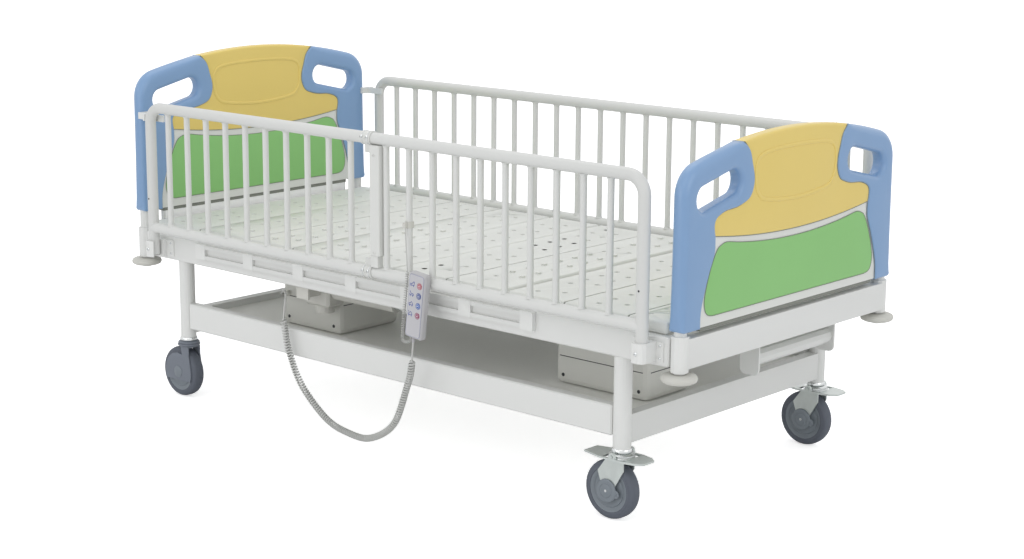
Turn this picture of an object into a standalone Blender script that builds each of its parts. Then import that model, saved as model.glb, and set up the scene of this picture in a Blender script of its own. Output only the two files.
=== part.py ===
"""Pediatric hospital bed with a hinged lying surface, drop-side guards and lift-off boards.

Metres, +Z up. The foot end is at +X and the near side, with the handset, is at -Y.
The origin lies on the floor under the middle of the bed.
"""

from math import acos, atan2, ceil, cos, degrees, pi, radians, sin, sqrt, tan

import bmesh
import bpy
from mathutils import Matrix, Vector

for old in list(bpy.data.objects):
    bpy.data.objects.remove(old, do_unlink=True)

# Clearances
SEAT = 0.0003
SLIDE = 0.0006
TURN = 0.0004

# Lying frame
POST_X = 0.834
POST_Y = 0.364
POST_D = 0.036
POST_BOTTOM = 0.3395
POST_TOP = 0.412
NECK_D = 0.024
RAIL_Z = 0.3465
RAIL_H = 0.060
RAIL_T = 0.025
END_RAIL_OUT = 0.004
END_RAIL_T = 0.0345
STOP_H = 0.046
STOP_T = 0.012
STOP_HALF = 0.312
BUMPER_D = 0.074
BUMPER_H = 0.018
SPINDLE_D = 0.012
SPINDLE_HEAD_D = 0.022
SPINDLE_HEAD_H = 0.004
PEG_D = 0.026
PEG_IN = 0.050

# Cross tube under the foot end
CROSS_IN = 0.064
CROSS_Z = 0.294
CROSS_D = 0.038
CROSS_NEAR = -0.030
CROSS_FAR = 0.254
HANGER_T = 0.005
HANGER_H = 0.058

# Base
LEG_X = 0.688
LEG_Y = 0.355
LEG_D = 0.038
LEG_BOTTOM = 0.147
BASE_Z = 0.177
BASE_H = 0.064
BASE_END_Z = 0.163
BASE_END_H = 0.060
BASE_T = 0.025
TRAY_UP = 0.027
TRAY_T = 0.003
TRAY_CORNER = 0.034

# Casters
WHEEL_D = 0.125
WHEEL_W = 0.032
WHEEL_STEPS = 20
TYRE_ROUND = 0.008
HUB_D = 0.094
HUB_IN = 0.004
BOSS_D = 0.030
AXLE_D = 0.010
CROWN_D = 0.044
CROWN_H = 0.020
TRAIL = 0.022
FORK_T = 0.003
FORK_TOP_W = 0.050
FORK_EYE_D = 0.024
TREAD_GAP = 0.003
HOOD_D = 0.098
PEDAL_T = 0.004
PEDAL_PIN_D = 0.006
PEDAL_PIN_UP = 0.010
PEDAL_EAR_R = 0.008
PEDAL_FRONT = 0.070
PEDAL_REAR = 0.082
PEDAL_W = 0.056
PEDAL_ARM = 0.006
PEDAL_CLEAR = 0.006

# Lying surface
DECK_T = 0.0255
DECK_SIDE = 0.002
DECK_HEAD_IN = 0.028
DECK_FOOT_IN = 0.034
BACK_X = -0.120
THIGH_X = 0.040
KNEE_X = 0.371
JOINT_GAP = 0.004
KNEE_GAP = 0.014
DECK_EDGE = 0.004
BACK_TILT = 70.0
THIGH_TILT = 35.0
CALF_RATIO = 1.77

# Beams and drives
BEAM_A = -0.057
BEAM_B = 0.257
BEAM_W = 0.050
BEAM_H = 0.028
BEAM_DROP = 0.006
TIE_Y = 0.020
LEVER_R = 0.115
LEVER_T = 0.005
LEVER_HALF = 0.012
LEVER_FOOT = 0.050
BACK_DRIVE_Y = 0.110
THIGH_DRIVE_Y = -0.280
EYE_T = 0.010
EYE_D = 0.026
EYE_HOLE = 0.010
EYE_SIDE = 0.0012
EYE_NECK = 0.024
ROD_D = 0.018
DRIVE_D = 0.034
DRIVE_IN = 0.020
THIGH_SPAN = 0.200
DRIVE_MOUTH = 0.012
GEAR_BORE = 0.020
GEAR_L = 0.080
GEAR_W = 0.056
GEAR_H = 0.070
MOTOR_D = 0.046
BACK_MOTOR_L = 0.075
THIGH_MOTOR_L = 0.052
ARM_T = 0.006

# Boxes on the tray
POWER_X = -0.3575
POWER_Y = -0.147
POWER_SIZE = (0.201, 0.196, 0.115)
CONTROL_X = 0.5115
CONTROL_Y = -0.135
CONTROL_SIZE = (0.251, 0.150, 0.100)
BOX_ROUND = 0.012

# Accessory rail
ACC_HEAD = -0.612
ACC_FOOT = 0.472
ACC_H = 0.034
ACC_UP = 0.021
ACC_DEPTH = 0.0105
ACC_LIP = 0.009
ACC_FLOOR = 0.003
ACC_BLOCKS = 7
ACC_BLOCK_W = 0.034
LATCH_H = 0.040

# Guards
GUARD_IN = 0.063
GUARD_HEAD_IN = 0.085
GUARD_FAR_HEAD_IN = 0.050
GUARD_OUT = 0.0045
GUARD_D = 0.026
GUARD_TOP = 0.724
GUARD_BOTTOM = 0.428
GUARD_FOOT = 0.358
GUARD_BEND = 0.040
GUARD_DROP = 0.220
BAR_D = 0.014
HEAD_BARS = 10
FOOT_BARS = 10
FAR_BARS = 21
HEAD_BAR_END = 0.068
HEAD_BAR_POST = 0.058
FOOT_BAR_END = 0.083
FOOT_BAR_POST = 0.053
FAR_BAR_END = 0.056
CLAMP_X = 0.0125
CLAMP_D = 0.031
CLAMP_L = 0.030
LUG_H = 0.018
LUG_T = 0.014
COVER_W = 0.030
COVER_T = 0.022
COVER_OUT = 0.005
COVER_FOOT_H = 0.026
COVER_FOOT_W = 0.022
SLEEVE_UP = 0.0095
SLEEVE_H = 0.040
SLEEVE_W = 0.034
SLEEVE_WALL = 0.006
FLANGE_T = 0.003
FLANGE_IN = 0.042
FLANGE_OUT = 0.034

# Boards
BOARD_SIDE = 0.018
BOARD_H = 0.370
FOOT_BOARD_Z = 0.420
HEAD_BOARD_Z = 0.454
BOARD_LIFT = 0.120
SHOULDER_R = 0.066
HEAD_RISE = 0.018
ARCH_DROP = 0.031
ARCH_SPAN = 0.290
SIDE_T = 0.036
UPPER_T = 0.030
GROUND_T = 0.026
LOWER_T = 0.029
PANEL_GAP = 0.0003
LEG_FOOT_W = 0.060
LEG_WAIST_W = 0.103
SEAM_UP = 0.159
SEAM_RISE = 0.020
LOWER_MARGIN = 0.020
LOWER_TOP = 0.144
HOLE_IN = 0.115
HOLE_UP = 0.268
HOLE_HALF = 0.073
HOLE_R = 0.025
HOLE_SLANT = 13.0
ARM_BAND = 0.042
CLIP_Z = 0.696
CLIP_H = 0.016
CLIP_T = 0.0055
CLIP_SIDE = 0.0015
CLIP_ROOM = 0.011
CLIP_WEB = 0.007
CLIP_FOOT = 0.020

# Handset and cords
HAND_X = 0.189
HAND_W = 0.050
HAND_T = 0.020
HAND_H = 0.146
HAND_TOP = 0.4535
HAND_ROUND = 0.007
HAND_LEAN = 6.5
HOOK_W = 0.013
HOOK_T = 0.002
HOOK_LIP = 0.018
HOOK_GAP = 0.0005
RELIEF_D = 0.008
RELIEF_L = 0.012
GLAND_D = 0.014
GLAND_L = 0.012
GLAND_X = -0.435
GLAND_UP = 0.078
BUTTON_D = 0.0105
BUTTON_UP = 0.0016
BUTTON_IN = 0.004
BUTTON_PITCH = 0.022
BUTTON_FIRST = 0.0265
BUTTON_SIDE = 0.010
BUTTON_PRESS = 0.001
CORD_D = 0.0044
COIL_D = 0.0165
CORD_CURLS = 36
LANYARD_D = 0.0024
LANYARD_COIL = 0.0085
LANYARD_OUT = 0.010
LANYARD_CURLS = 10
CURL_POINTS = 8
CLIP_BAND = 0.014
CLIP_BAND_UP = 0.548


def material(name, colour, roughness, metallic=0.0):
    """Make one surface finish."""
    made = bpy.data.materials.new(name)
    made.use_nodes = True
    made.diffuse_color = (*colour, 1.0)
    shader = made.node_tree.nodes["Principled BSDF"]
    shader.inputs["Base Color"].default_value = (*colour, 1.0)
    shader.inputs["Roughness"].default_value = roughness
    shader.inputs["Metallic"].default_value = metallic
    return made


WHITE_STEEL = ((0.74, 0.75, 0.73), 0.35)
CREAM = ((0.72, 0.71, 0.63), 0.45)
DECK_WHITE = ((0.70, 0.71, 0.67), 0.55)
BLUE = ((0.21, 0.36, 0.63), 0.35)
YELLOW = ((0.68, 0.51, 0.15), 0.40)
GREEN = ((0.26, 0.55, 0.20), 0.40)
GROUND = ((0.68, 0.69, 0.66), 0.42)
TRAY_GREY = ((0.42, 0.43, 0.38), 0.55)
BOX_GREY = ((0.40, 0.41, 0.39), 0.50)
ZINC = ((0.55, 0.58, 0.56), 0.35, 0.8)
HOOD_GREY = ((0.25, 0.27, 0.31), 0.45)
WHEEL_GREY = ((0.12, 0.13, 0.16), 0.60)
HAND_GREY = ((0.62, 0.64, 0.70), 0.40)
BUTTON_RED = ((0.60, 0.08, 0.10), 0.40)
BUTTON_BLUE = ((0.07, 0.18, 0.62), 0.40)
CORD_GREY = ((0.55, 0.56, 0.55), 0.50)


def add(name, shape, finish, origin=(0.0, 0.0, 0.0), parent=None):
    """Put one finished shape into the scene, with its origin where its joint is."""
    bmesh.ops.translate(shape, verts=shape.verts, vec=-Vector(origin))
    bmesh.ops.recalc_face_normals(shape, faces=shape.faces)
    mesh = bpy.data.meshes.new(name)
    shape.to_mesh(mesh)
    shape.free()
    mesh.materials.append(material(name, *finish))
    mesh.shade_smooth()
    mesh.set_sharp_from_angle(angle=radians(38))
    made = bpy.data.objects.new(name, mesh)
    made.location = origin
    bpy.context.collection.objects.link(made)
    if parent is not None:
        bpy.context.view_layer.update()
        made.parent = parent
        made.matrix_parent_inverse = parent.matrix_world.inverted()
    return made


def combine(first, second, operation):
    """Join two closed shapes, or cut the second out of the first."""
    pair = []
    for shape in (first, second):
        bmesh.ops.recalc_face_normals(shape, faces=shape.faces)
        mesh = bpy.data.meshes.new("work")
        shape.to_mesh(mesh)
        shape.free()
        piece = bpy.data.objects.new("work", mesh)
        bpy.context.collection.objects.link(piece)
        pair.append(piece)
    cut = pair[0].modifiers.new("cut", "BOOLEAN")
    cut.operation = operation
    cut.object = pair[1]
    cut.solver = "EXACT"
    graph = bpy.context.evaluated_depsgraph_get()
    result = bmesh.new()
    result.from_mesh(pair[0].evaluated_get(graph).to_mesh())
    for piece in pair:
        mesh = piece.data
        bpy.data.objects.remove(piece, do_unlink=True)
        bpy.data.meshes.remove(mesh)
    bmesh.ops.remove_doubles(result, verts=result.verts, dist=0.000002)
    bmesh.ops.dissolve_degenerate(result, dist=0.000002, edges=result.edges)
    return result


def join(*shapes):
    """Join closed shapes that run into each other."""
    whole = shapes[0]
    for shape in shapes[1:]:
        whole = combine(whole, shape, "UNION")
    return whole


def cut(whole, *shapes):
    """Cut closed shapes out of a whole."""
    for shape in shapes:
        whole = combine(whole, shape, "DIFFERENCE")
    return whole


def gather(shapes):
    """Hold shapes that don't touch each other in one mesh."""
    whole = bmesh.new()
    for shape in shapes:
        mesh = bpy.data.meshes.new("work")
        shape.to_mesh(mesh)
        shape.free()
        whole.from_mesh(mesh)
        bpy.data.meshes.remove(mesh)
    return whole


def box(low, high, edge=0.0, steps=1):
    """Make a block between two corners, with its edges broken."""
    shape = bmesh.new()
    bmesh.ops.create_cube(shape, size=1.0)
    size = Vector(high) - Vector(low)
    middle = (Vector(high) + Vector(low)) / 2
    bmesh.ops.scale(shape, verts=shape.verts, vec=size)
    bmesh.ops.translate(shape, verts=shape.verts, vec=middle)
    if edge > 0:
        bmesh.ops.bevel(shape, geom=shape.edges[:], offset=edge, segments=steps, profile=0.5,
                        affect="EDGES", clamp_overlap=True)
    return shape


def place(axis, u, v, w):
    """Turn outline coordinates and a depth into a point; the outline lies across the axis."""
    if axis == "x":
        return Vector((w, u, v))
    if axis == "y":
        return Vector((u, w, v))
    return Vector((u, v, w))


def shifted(outline, distance):
    """Move a closed outline inward by a distance."""
    area = sum(a[0] * b[1] - b[0] * a[1] for a, b in zip(outline, outline[1:] + outline[:1]))
    turn = 1.0 if area > 0 else -1.0
    moved = []
    count = len(outline)
    for i, point in enumerate(outline):
        before = Vector(point) - Vector(outline[i - 1])
        after = Vector(outline[(i + 1) % count]) - Vector(point)
        before.normalize()
        after.normalize()
        normal = Vector((-before.y - after.y, before.x + after.x)) * turn
        normal.normalize()
        lean = max(0.5, normal.dot(Vector((-after.y, after.x)) * turn))
        moved.append(tuple(Vector(point) + normal * distance / lean))
    return moved


def prism(outline, axis, low, high, edge=0.0):
    """Make a plate from an outline, between two depths, with both rims broken."""
    shape = bmesh.new()
    if edge > 0:
        inner = shifted(outline, edge)
        layers = [(inner, low), (outline, low + edge), (outline, high - edge), (inner, high)]
    else:
        layers = [(outline, low), (outline, high)]
    rings = [[shape.verts.new(place(axis, u, v, w)) for u, v in ring] for ring, w in layers]
    count = len(outline)
    for lower, upper in zip(rings, rings[1:]):
        for i in range(count):
            shape.faces.new((lower[i], lower[(i + 1) % count], upper[(i + 1) % count], upper[i]))
    shape.faces.new(reversed(rings[0]))
    shape.faces.new(rings[-1])
    bmesh.ops.recalc_face_normals(shape, faces=shape.faces)
    return shape


def sweep(points, radius, sides, flat):
    """Run a round tube along points that lie in one plane, whose normal is given."""
    shape = bmesh.new()
    spots = [Vector(p) for p in points]
    normal = Vector(flat).normalized()
    rings = []
    for i, spot in enumerate(spots):
        ahead = spots[min(i + 1, len(spots) - 1)] - spots[max(i - 1, 0)]
        if 0 < i < len(spots) - 1:
            ahead = (spots[i + 1] - spot).normalized() + (spot - spots[i - 1]).normalized()
        ahead.normalize()
        across = ahead.cross(normal)
        ring = []
        for k in range(sides):
            angle = 2 * pi * k / sides
            ring.append(shape.verts.new(spot + radius * (cos(angle) * normal + sin(angle) * across)))
        rings.append(ring)
    for lower, upper in zip(rings, rings[1:]):
        for i in range(sides):
            shape.faces.new((lower[i], lower[(i + 1) % sides], upper[(i + 1) % sides], upper[i]))
    shape.faces.new(rings[0])
    shape.faces.new(rings[-1])
    bmesh.ops.recalc_face_normals(shape, faces=shape.faces)
    return shape


def post(x, y, low, high, diameter, sides=20):
    """Make an upright round bar."""
    return sweep([(x, y, low), (x, y, high)], diameter / 2, sides, (0, 1, 0))


def lathe(profile, centre, axis, steps):
    """Turn a closed profile of radius and depth about an axis."""
    shape = bmesh.new()
    rings = []
    for radius, depth in profile:
        if radius <= 0:
            rings.append([shape.verts.new(Vector(centre) + place(axis, 0, 0, depth))])
            continue
        ring = []
        for k in range(steps):
            angle = 2 * pi * k / steps
            u, v = radius * cos(angle), radius * sin(angle)
            ring.append(shape.verts.new(Vector(centre) + place(axis, u, v, depth)))
        rings.append(ring)
    closed = profile[0][0] > 0 and profile[-1][0] > 0
    pairs = list(zip(rings, rings[1:])) + ([(rings[-1], rings[0])] if closed else [])
    for lower, upper in pairs:
        for i in range(steps):
            j = (i + 1) % steps
            if len(lower) == 1:
                shape.faces.new((lower[0], upper[i], upper[j]))
            elif len(upper) == 1:
                shape.faces.new((lower[i], lower[j], upper[0]))
            else:
                shape.faces.new((lower[i], lower[j], upper[j], upper[i]))
    bmesh.ops.recalc_face_normals(shape, faces=shape.faces)
    return shape


def arc(u, v, radius, start, end, count):
    """List points along an arc, angles in degrees."""
    spots = []
    for k in range(count + 1):
        angle = radians(start + (end - start) * k / count)
        spots.append((u + radius * cos(angle), v + radius * sin(angle)))
    return spots


SIDES = (("near", -1), ("far", 1))
ENDS = (("head", -1), ("foot", 1))

RAIL_TOP = RAIL_Z + RAIL_H
RAIL_FACE = POST_Y + RAIL_T / 2
CROSS_X = POST_X - CROSS_IN
GUARD_X = POST_X - GUARD_IN
GUARD_HEAD_X = POST_X - GUARD_HEAD_IN
GUARD_FAR_HEAD_X = POST_X - GUARD_FAR_HEAD_IN
DECK_HALF = POST_Y - DECK_SIDE
DECK_HEAD = DECK_HEAD_IN - POST_X
DECK_FOOT = POST_X - DECK_FOOT_IN
BOARD_HALF = POST_Y + BOARD_SIDE
LEG_INNER = BOARD_HALF - LEG_FOOT_W
LEG_WAIST = BOARD_HALF - LEG_WAIST_W
HOLE_Y = BOARD_HALF - HOLE_IN
GUARD_Y = RAIL_FACE + ACC_DEPTH + GUARD_OUT + GUARD_D / 2
DECK_Z = RAIL_TOP + SEAT
DECK_TOP = DECK_Z + DECK_T
TRAY_Z = BASE_Z + TRAY_UP
TRAY_TOP = TRAY_Z + TRAY_T


# Lying frame: two end frames with their corner posts, and two side rails

def end_frame(end, way):
    """Make an end rail with its two corner posts, board pegs and bumper necks."""
    x = way * POST_X
    rail_x = x + way * END_RAIL_OUT
    board_z = HEAD_BOARD_Z if end == "head" else FOOT_BOARD_Z
    rail_out = rail_x + way * RAIL_T / 2
    rail_in = rail_out - way * END_RAIL_T
    whole = box((min(rail_in, rail_out), -POST_Y, RAIL_Z), (max(rail_in, rail_out), POST_Y, RAIL_TOP))
    columns = []
    for side, turn in SIDES:
        under = BUMPER_TOP - BUMPER_H - SEAT
        profile = [(0, under - SPINDLE_HEAD_H), (SPINDLE_HEAD_D / 2, under - SPINDLE_HEAD_H)]
        profile += [(SPINDLE_HEAD_D / 2, under), (SPINDLE_D / 2, under)]
        profile += [(SPINDLE_D / 2, BUMPER_TOP + SEAT)]
        profile += [(NECK_D / 2, BUMPER_TOP + SEAT), (NECK_D / 2, POST_BOTTOM)]
        profile += [(POST_D / 2, POST_BOTTOM), (POST_D / 2, POST_TOP), (PEG_D / 2, POST_TOP)]
        profile += [(PEG_D / 2, board_z + PEG_IN), (0, board_z + PEG_IN)]
        columns.append(lathe(profile, (x, turn * POST_Y, 0), "z", 12))
    whole = join(whole, gather(columns))
    if end == "head":
        stop_x = rail_x + RAIL_T / 2 - STOP_T
        stop_low, stop_high = RAIL_TOP - 0.004, RAIL_TOP + STOP_H
        stop = box((stop_x, -STOP_HALF, stop_low), (stop_x + STOP_T, STOP_HALF, stop_high))
        whole = join(whole, stop)
    else:
        tube_ends = [(CROSS_X, CROSS_NEAR, CROSS_Z), (CROSS_X, CROSS_FAR, CROSS_Z)]
        tube = sweep(tube_ends, CROSS_D / 2, 12, (0, 0, 1))
        low = CROSS_Z - HANGER_H / 2 - 0.006
        outline = [(rail_in + 0.004, RAIL_Z + 0.020), (CROSS_X - 0.024, RAIL_Z + 0.020)]
        outline += arc(CROSS_X - 0.012, low + 0.012, 0.012, 180, 270, 3)
        outline += arc(CROSS_X + 0.012, low + 0.012, 0.012, 270, 360, 3)
        outline += [(CROSS_X + 0.024, RAIL_Z + 0.004), (rail_in + 0.004, RAIL_Z + 0.004)]
        for start in (CROSS_NEAR + 0.001 - HANGER_T, CROSS_FAR - 0.001):
            tube = join(tube, prism(outline, "y", start, start + HANGER_T))
        whole = join(whole, tube)
    return whole


BUMPER_TOP = POST_BOTTOM - 0.004
for end, way in ENDS:
    add("end_frame_" + end, end_frame(end, way), WHITE_STEEL)
    for side, turn in SIDES:
        r, top = BUMPER_D / 2, BUMPER_TOP
        bore = SPINDLE_D / 2 + TURN
        profile = [(bore, top), (r - 0.006, top), (r, top - BUMPER_H / 2)]
        profile += [(r - 0.006, top - BUMPER_H), (bore, top - BUMPER_H)]
        place_on = (way * POST_X, turn * POST_Y, 0)
        shape = lathe(profile, place_on, "z", 16)
        add("bumper_" + end + "_" + side, shape, CREAM, (place_on[0], place_on[1], top - BUMPER_H / 2))


def side_rail(turn, head_x):
    """Make a side rail with a guard sleeve near each end, open where the guard's lower rail slides past."""
    reach = POST_X - POST_D / 2 - SEAT
    middle = turn * POST_Y
    whole = box((-reach, middle - RAIL_T / 2, RAIL_Z), (reach, middle + RAIL_T / 2, RAIL_TOP), 0.003)
    low, high = RAIL_Z + SLEEVE_UP, RAIL_Z + SLEEVE_UP + SLEEVE_H
    face = RAIL_FACE - 0.004
    back = GUARD_Y + GUARD_D / 2 + SLEEVE_WALL
    for end, way in ENDS:
        x = GUARD_X if end == "foot" else -head_x
        corner = 0.012
        outline = [(x - SLEEVE_W / 2, turn * face), (x - SLEEVE_W / 2, turn * (back - corner))]
        outline += [(x - SLEEVE_W / 2 + corner * 0.3, turn * (back - corner * 0.3))]
        outline += [(x - SLEEVE_W / 2 + corner, turn * back), (x + SLEEVE_W / 2 - corner, turn * back)]
        outline += [(x + SLEEVE_W / 2 - corner * 0.3, turn * (back - corner * 0.3))]
        outline += [(x + SLEEVE_W / 2, turn * (back - corner)), (x + SLEEVE_W / 2, turn * face)]
        sleeve = prism(outline, "z", low, high)
        inner, outer = x - way * FLANGE_IN, way * min(abs(x) + FLANGE_OUT, reach)
        lower, upper = sorted((turn * face, turn * (RAIL_FACE + FLANGE_T)))
        flange = box((min(inner, outer), lower, low), (max(inner, outer), upper, high))
        hole = post(x, turn * GUARD_Y, low - 0.01, high + 0.01, GUARD_D + 2 * SLIDE, 12)
        whole = cut(join(whole, join(sleeve, flange)), hole)
        slot_in, slot_out = sorted((x, x - way * (SLEEVE_W / 2 + 0.005)))
        slot_low, slot_high = turn * GUARD_Y - GUARD_D / 2 - TURN, turn * GUARD_Y + GUARD_D / 2 + TURN
        whole = cut(whole, box((slot_in, slot_low, low - 0.01), (slot_out, slot_high, high + 0.01)))
    return whole


add("side_rail_near", side_rail(-1, GUARD_HEAD_X), WHITE_STEEL)
add("side_rail_far", side_rail(1, GUARD_FAR_HEAD_X), WHITE_STEEL)


# Base: two welded leg frames, two side rails and the tray between them

for end, way in ENDS:
    x = way * LEG_X
    bar = box((x - BASE_T / 2, -LEG_Y, BASE_END_Z), (x + BASE_T / 2, LEG_Y, BASE_END_Z + BASE_END_H))
    legs = [post(x, turn * LEG_Y, LEG_BOTTOM, RAIL_Z - SEAT, LEG_D) for side, turn in SIDES]
    add("base_end_" + end, join(bar, gather(legs)), WHITE_STEEL)

for side, turn in SIDES:
    reach = LEG_X - LEG_D / 2 - SEAT
    middle = turn * LEG_Y
    shape = box((-reach, middle - BASE_T / 2, BASE_Z), (reach, middle + BASE_T / 2, BASE_Z + BASE_H), 0.003)
    add("base_rail_" + side, shape, WHITE_STEEL)

tray_x = LEG_X - BASE_T / 2 - SEAT
tray_y = LEG_Y - BASE_T / 2 - SEAT
outline = []
for sx, sy in ((1, 1), (-1, 1), (-1, -1), (1, -1)):
    pair = [(sx * tray_x, sy * (tray_y - TRAY_CORNER)), (sx * (tray_x - TRAY_CORNER), sy * tray_y)]
    outline += pair if sx * sy > 0 else pair[::-1]
add("base_tray", prism(outline, "z", TRAY_Z, TRAY_TOP), TRAY_GREY)


# Casters: a plain fork with a pedal at the foot end, a hooded fork at the head end

AXLE_Z = WHEEL_D / 2
CROWN_TOP = LEG_BOTTOM - SEAT
PLATE_TOP = WHEEL_D + TREAD_GAP + FORK_T
PLATE_IN = WHEEL_W / 2 + SEAT
PEDAL_INSIDE = CROWN_D / 2 + PEDAL_CLEAR


def caster_fork(x, y, hooded):
    """Make a swivel fork with its crown and axle; the wheel trails towards the head."""
    hub_x = x - TRAIL
    crown = [(0, CROWN_TOP), (CROWN_D / 2 - 0.004, CROWN_TOP), (CROWN_D / 2, CROWN_TOP - 0.005)]
    crown += [(CROWN_D / 2, PLATE_TOP - 0.002), (0, PLATE_TOP - 0.002)]
    whole = lathe(crown, (x, y, 0), "z", 12)
    outer = PLATE_IN + FORK_T
    if hooded:
        r = HOOD_D / 2
        side_line = arc(hub_x, AXLE_Z, r, 205, 70, 6)
        side_line += [(x - 0.010, PLATE_TOP), (x + CROWN_D / 2 - 0.003, PLATE_TOP)]
        side_line += [(x + CROWN_D / 2 - 0.003, PLATE_TOP - 0.020)] + arc(hub_x, AXLE_Z, r, 12, -25, 3)
    else:
        half = FORK_TOP_W / 2
        front = x + half - 0.006
        side_line = [(x - half, PLATE_TOP), (front, PLATE_TOP), (front, PLATE_TOP - 0.022)]
        side_line += arc(hub_x, AXLE_Z, FORK_EYE_D / 2, -35, -190, 4)
        side_line += [(x - half - 0.022, PLATE_TOP - 0.030)]
    for turn in (-1, 1):
        low, high = sorted((y + turn * PLATE_IN, y + turn * outer))
        whole = join(whole, prism(side_line, "y", low, high))
    ends_u = [u for u, v in side_line if v > PLATE_TOP - 0.0001]
    lid_low = PLATE_TOP - FORK_T
    lid = box((min(ends_u), y - outer, lid_low), (max(ends_u), y + outer, PLATE_TOP))
    whole = join(whole, lid)
    reach = outer + 0.002
    axle = sweep([(hub_x, y - reach, AXLE_Z), (hub_x, y + reach, AXLE_Z)], AXLE_D / 2, 10, (0, 0, 1))
    whole = join(whole, axle)
    if not hooded:
        reach = PEDAL_INSIDE + PEDAL_ARM + 0.002
        pin_z = PLATE_TOP + PEDAL_PIN_UP
        pin = sweep([(x, y - reach, pin_z), (x, y + reach, pin_z)], PEDAL_PIN_D / 2, 10, (0, 0, 1))
        whole = join(whole, pin)
    return whole


def caster_wheel(x, y):
    """Turn a wheel with a rounded tyre, a sunk hub and a bore for the axle."""
    r, half = WHEEL_D / 2, WHEEL_W / 2
    bore = (AXLE_D / 2 + SEAT) / cos(pi / WHEEL_STEPS)
    rim, boss = HUB_D / 2, BOSS_D / 2
    one = [(bore, half), (boss, half), (rim - 0.003, half - HUB_IN), (rim, half)]
    one += [(r - TYRE_ROUND * 0.5, half), (r, half - TYRE_ROUND)]
    return lathe(one + [(a, -b) for a, b in reversed(one)], (x - TRAIL, y, AXLE_Z), "y", WHEEL_STEPS)


def brake_pedal(x, y):
    """Make a two-winged pedal whose frame goes round the fork's crown."""
    inside = PEDAL_INSIDE
    low, high = PLATE_TOP + 0.002, PLATE_TOP + 0.002 + PEDAL_T
    pin_z = PLATE_TOP + PEDAL_PIN_UP
    arm = inside + PEDAL_ARM
    outline = [(x - PEDAL_REAR, y - PEDAL_W * 0.38), (x - inside - 0.004, y - arm), (x + inside, y - arm)]
    outline += [(x + PEDAL_FRONT - 0.014, y - PEDAL_W / 2), (x + PEDAL_FRONT, y - PEDAL_W * 0.30)]
    outline += [(a, 2 * y - b) for a, b in reversed(outline)]
    plate = prism(outline, "z", low, high)
    opening = box((x - inside, y - inside, low - 0.01), (x + inside, y + inside, high + 0.01))
    plate = cut(plate, opening)
    for turn in (-1, 1):
        near, out = sorted((y + turn * inside, y + turn * arm))
        ear_line = [(x - PEDAL_EAR_R, low + 0.001)] + arc(x, pin_z, PEDAL_EAR_R, 180, 0, 6)
        ear_line += [(x + PEDAL_EAR_R, low + 0.001)]
        plate = join(plate, prism(ear_line, "y", near, out))
    hole_r = (PEDAL_PIN_D / 2 + SEAT) / cos(pi / 10)
    hole = sweep([(x, y - arm - 0.01, pin_z), (x, y + arm + 0.01, pin_z)], hole_r, 10, (0, 0, 1))
    return cut(plate, hole)


for end, way in ENDS:
    for side, turn in SIDES:
        x, y = way * LEG_X, turn * LEG_Y
        finish = HOOD_GREY if end == "head" else ZINC
        name = end + "_" + side
        fork = add("caster_fork_" + name, caster_fork(x, y, end == "head"), finish, (x, y, AXLE_Z))
        add("caster_wheel_" + name, caster_wheel(x, y), WHEEL_GREY, (x - TRAIL, y, AXLE_Z), fork)
        if end == "foot":
            pivot = (x, y, PLATE_TOP + PEDAL_PIN_UP)
            add("brake_pedal_" + side, brake_pedal(x, y), ZINC, pivot, fork)


# Lying surface: the seat is fixed, the back, thigh and calf sections swing

def lever(pivot_x, foot_low, foot_high, lean, middle):
    """Make the two cheeks of a drive lever; the lean is its angle from straight down, to +X."""
    angle = radians(lean)
    pin = Vector((pivot_x + LEVER_R * sin(angle), DECK_TOP - LEVER_R * cos(angle)))
    along = Vector((sin(angle), -cos(angle)))
    across = Vector((cos(angle), sin(angle)))
    tip = [pin - across * LEVER_HALF, pin + along * LEVER_HALF * 0.75 - across * LEVER_HALF * 0.7]
    tip += [pin + along * LEVER_HALF, pin + along * LEVER_HALF * 0.75 + across * LEVER_HALF * 0.7]
    tip += [pin + across * LEVER_HALF]
    outline = [(foot_high, DECK_Z + 0.004), (foot_low, DECK_Z + 0.004)]
    outline += [(foot_low, DECK_Z - 0.006)] + [tuple(p) for p in tip] + [(foot_high, DECK_Z - 0.006)]
    cheeks = []
    for turn in (-1, 1):
        near = middle + turn * (EYE_T / 2 + EYE_SIDE)
        low, high = sorted((near, near + turn * LEVER_T))
        cheeks.append(prism(outline, "y", low, high))
    return gather(cheeks), pin


half_gap = JOINT_GAP / 2
panels = {"back": (DECK_HEAD, BACK_X - half_gap), "seat": (BACK_X + half_gap, THIGH_X - half_gap)}
panels["thigh"] = (THIGH_X + half_gap, KNEE_X - KNEE_GAP / 2)
panels["calf"] = (KNEE_X + KNEE_GAP / 2, DECK_FOOT)
panel = {}
for name, (low, high) in panels.items():
    panel[name] = box((low, -DECK_HALF, DECK_Z), (high, DECK_HALF, DECK_TOP), DECK_EDGE)

back_foot = BACK_X - half_gap - DECK_EDGE - 0.001
cheeks, back_pin = lever(BACK_X, back_foot - LEVER_FOOT, back_foot, BACK_TILT / 2, BACK_DRIVE_Y)
back = join(panel["back"], cheeks)
thigh_foot = THIGH_X + half_gap + DECK_EDGE + 0.001
cheeks, thigh_pin = lever(THIGH_X, thigh_foot, thigh_foot + LEVER_FOOT, -THIGH_TILT / 2, THIGH_DRIVE_Y)
thigh = join(panel["thigh"], cheeks)

seat_object = add("deck_seat", panel["seat"], DECK_WHITE)
add("deck_back", back, DECK_WHITE, (BACK_X, 0, DECK_TOP))
thigh_object = add("deck_thigh", thigh, DECK_WHITE, (THIGH_X, 0, DECK_TOP))
KNEE_Z = DECK_Z - 0.002
add("deck_calf", panel["calf"], DECK_WHITE, (KNEE_X, 0, KNEE_Z), thigh_object)

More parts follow.
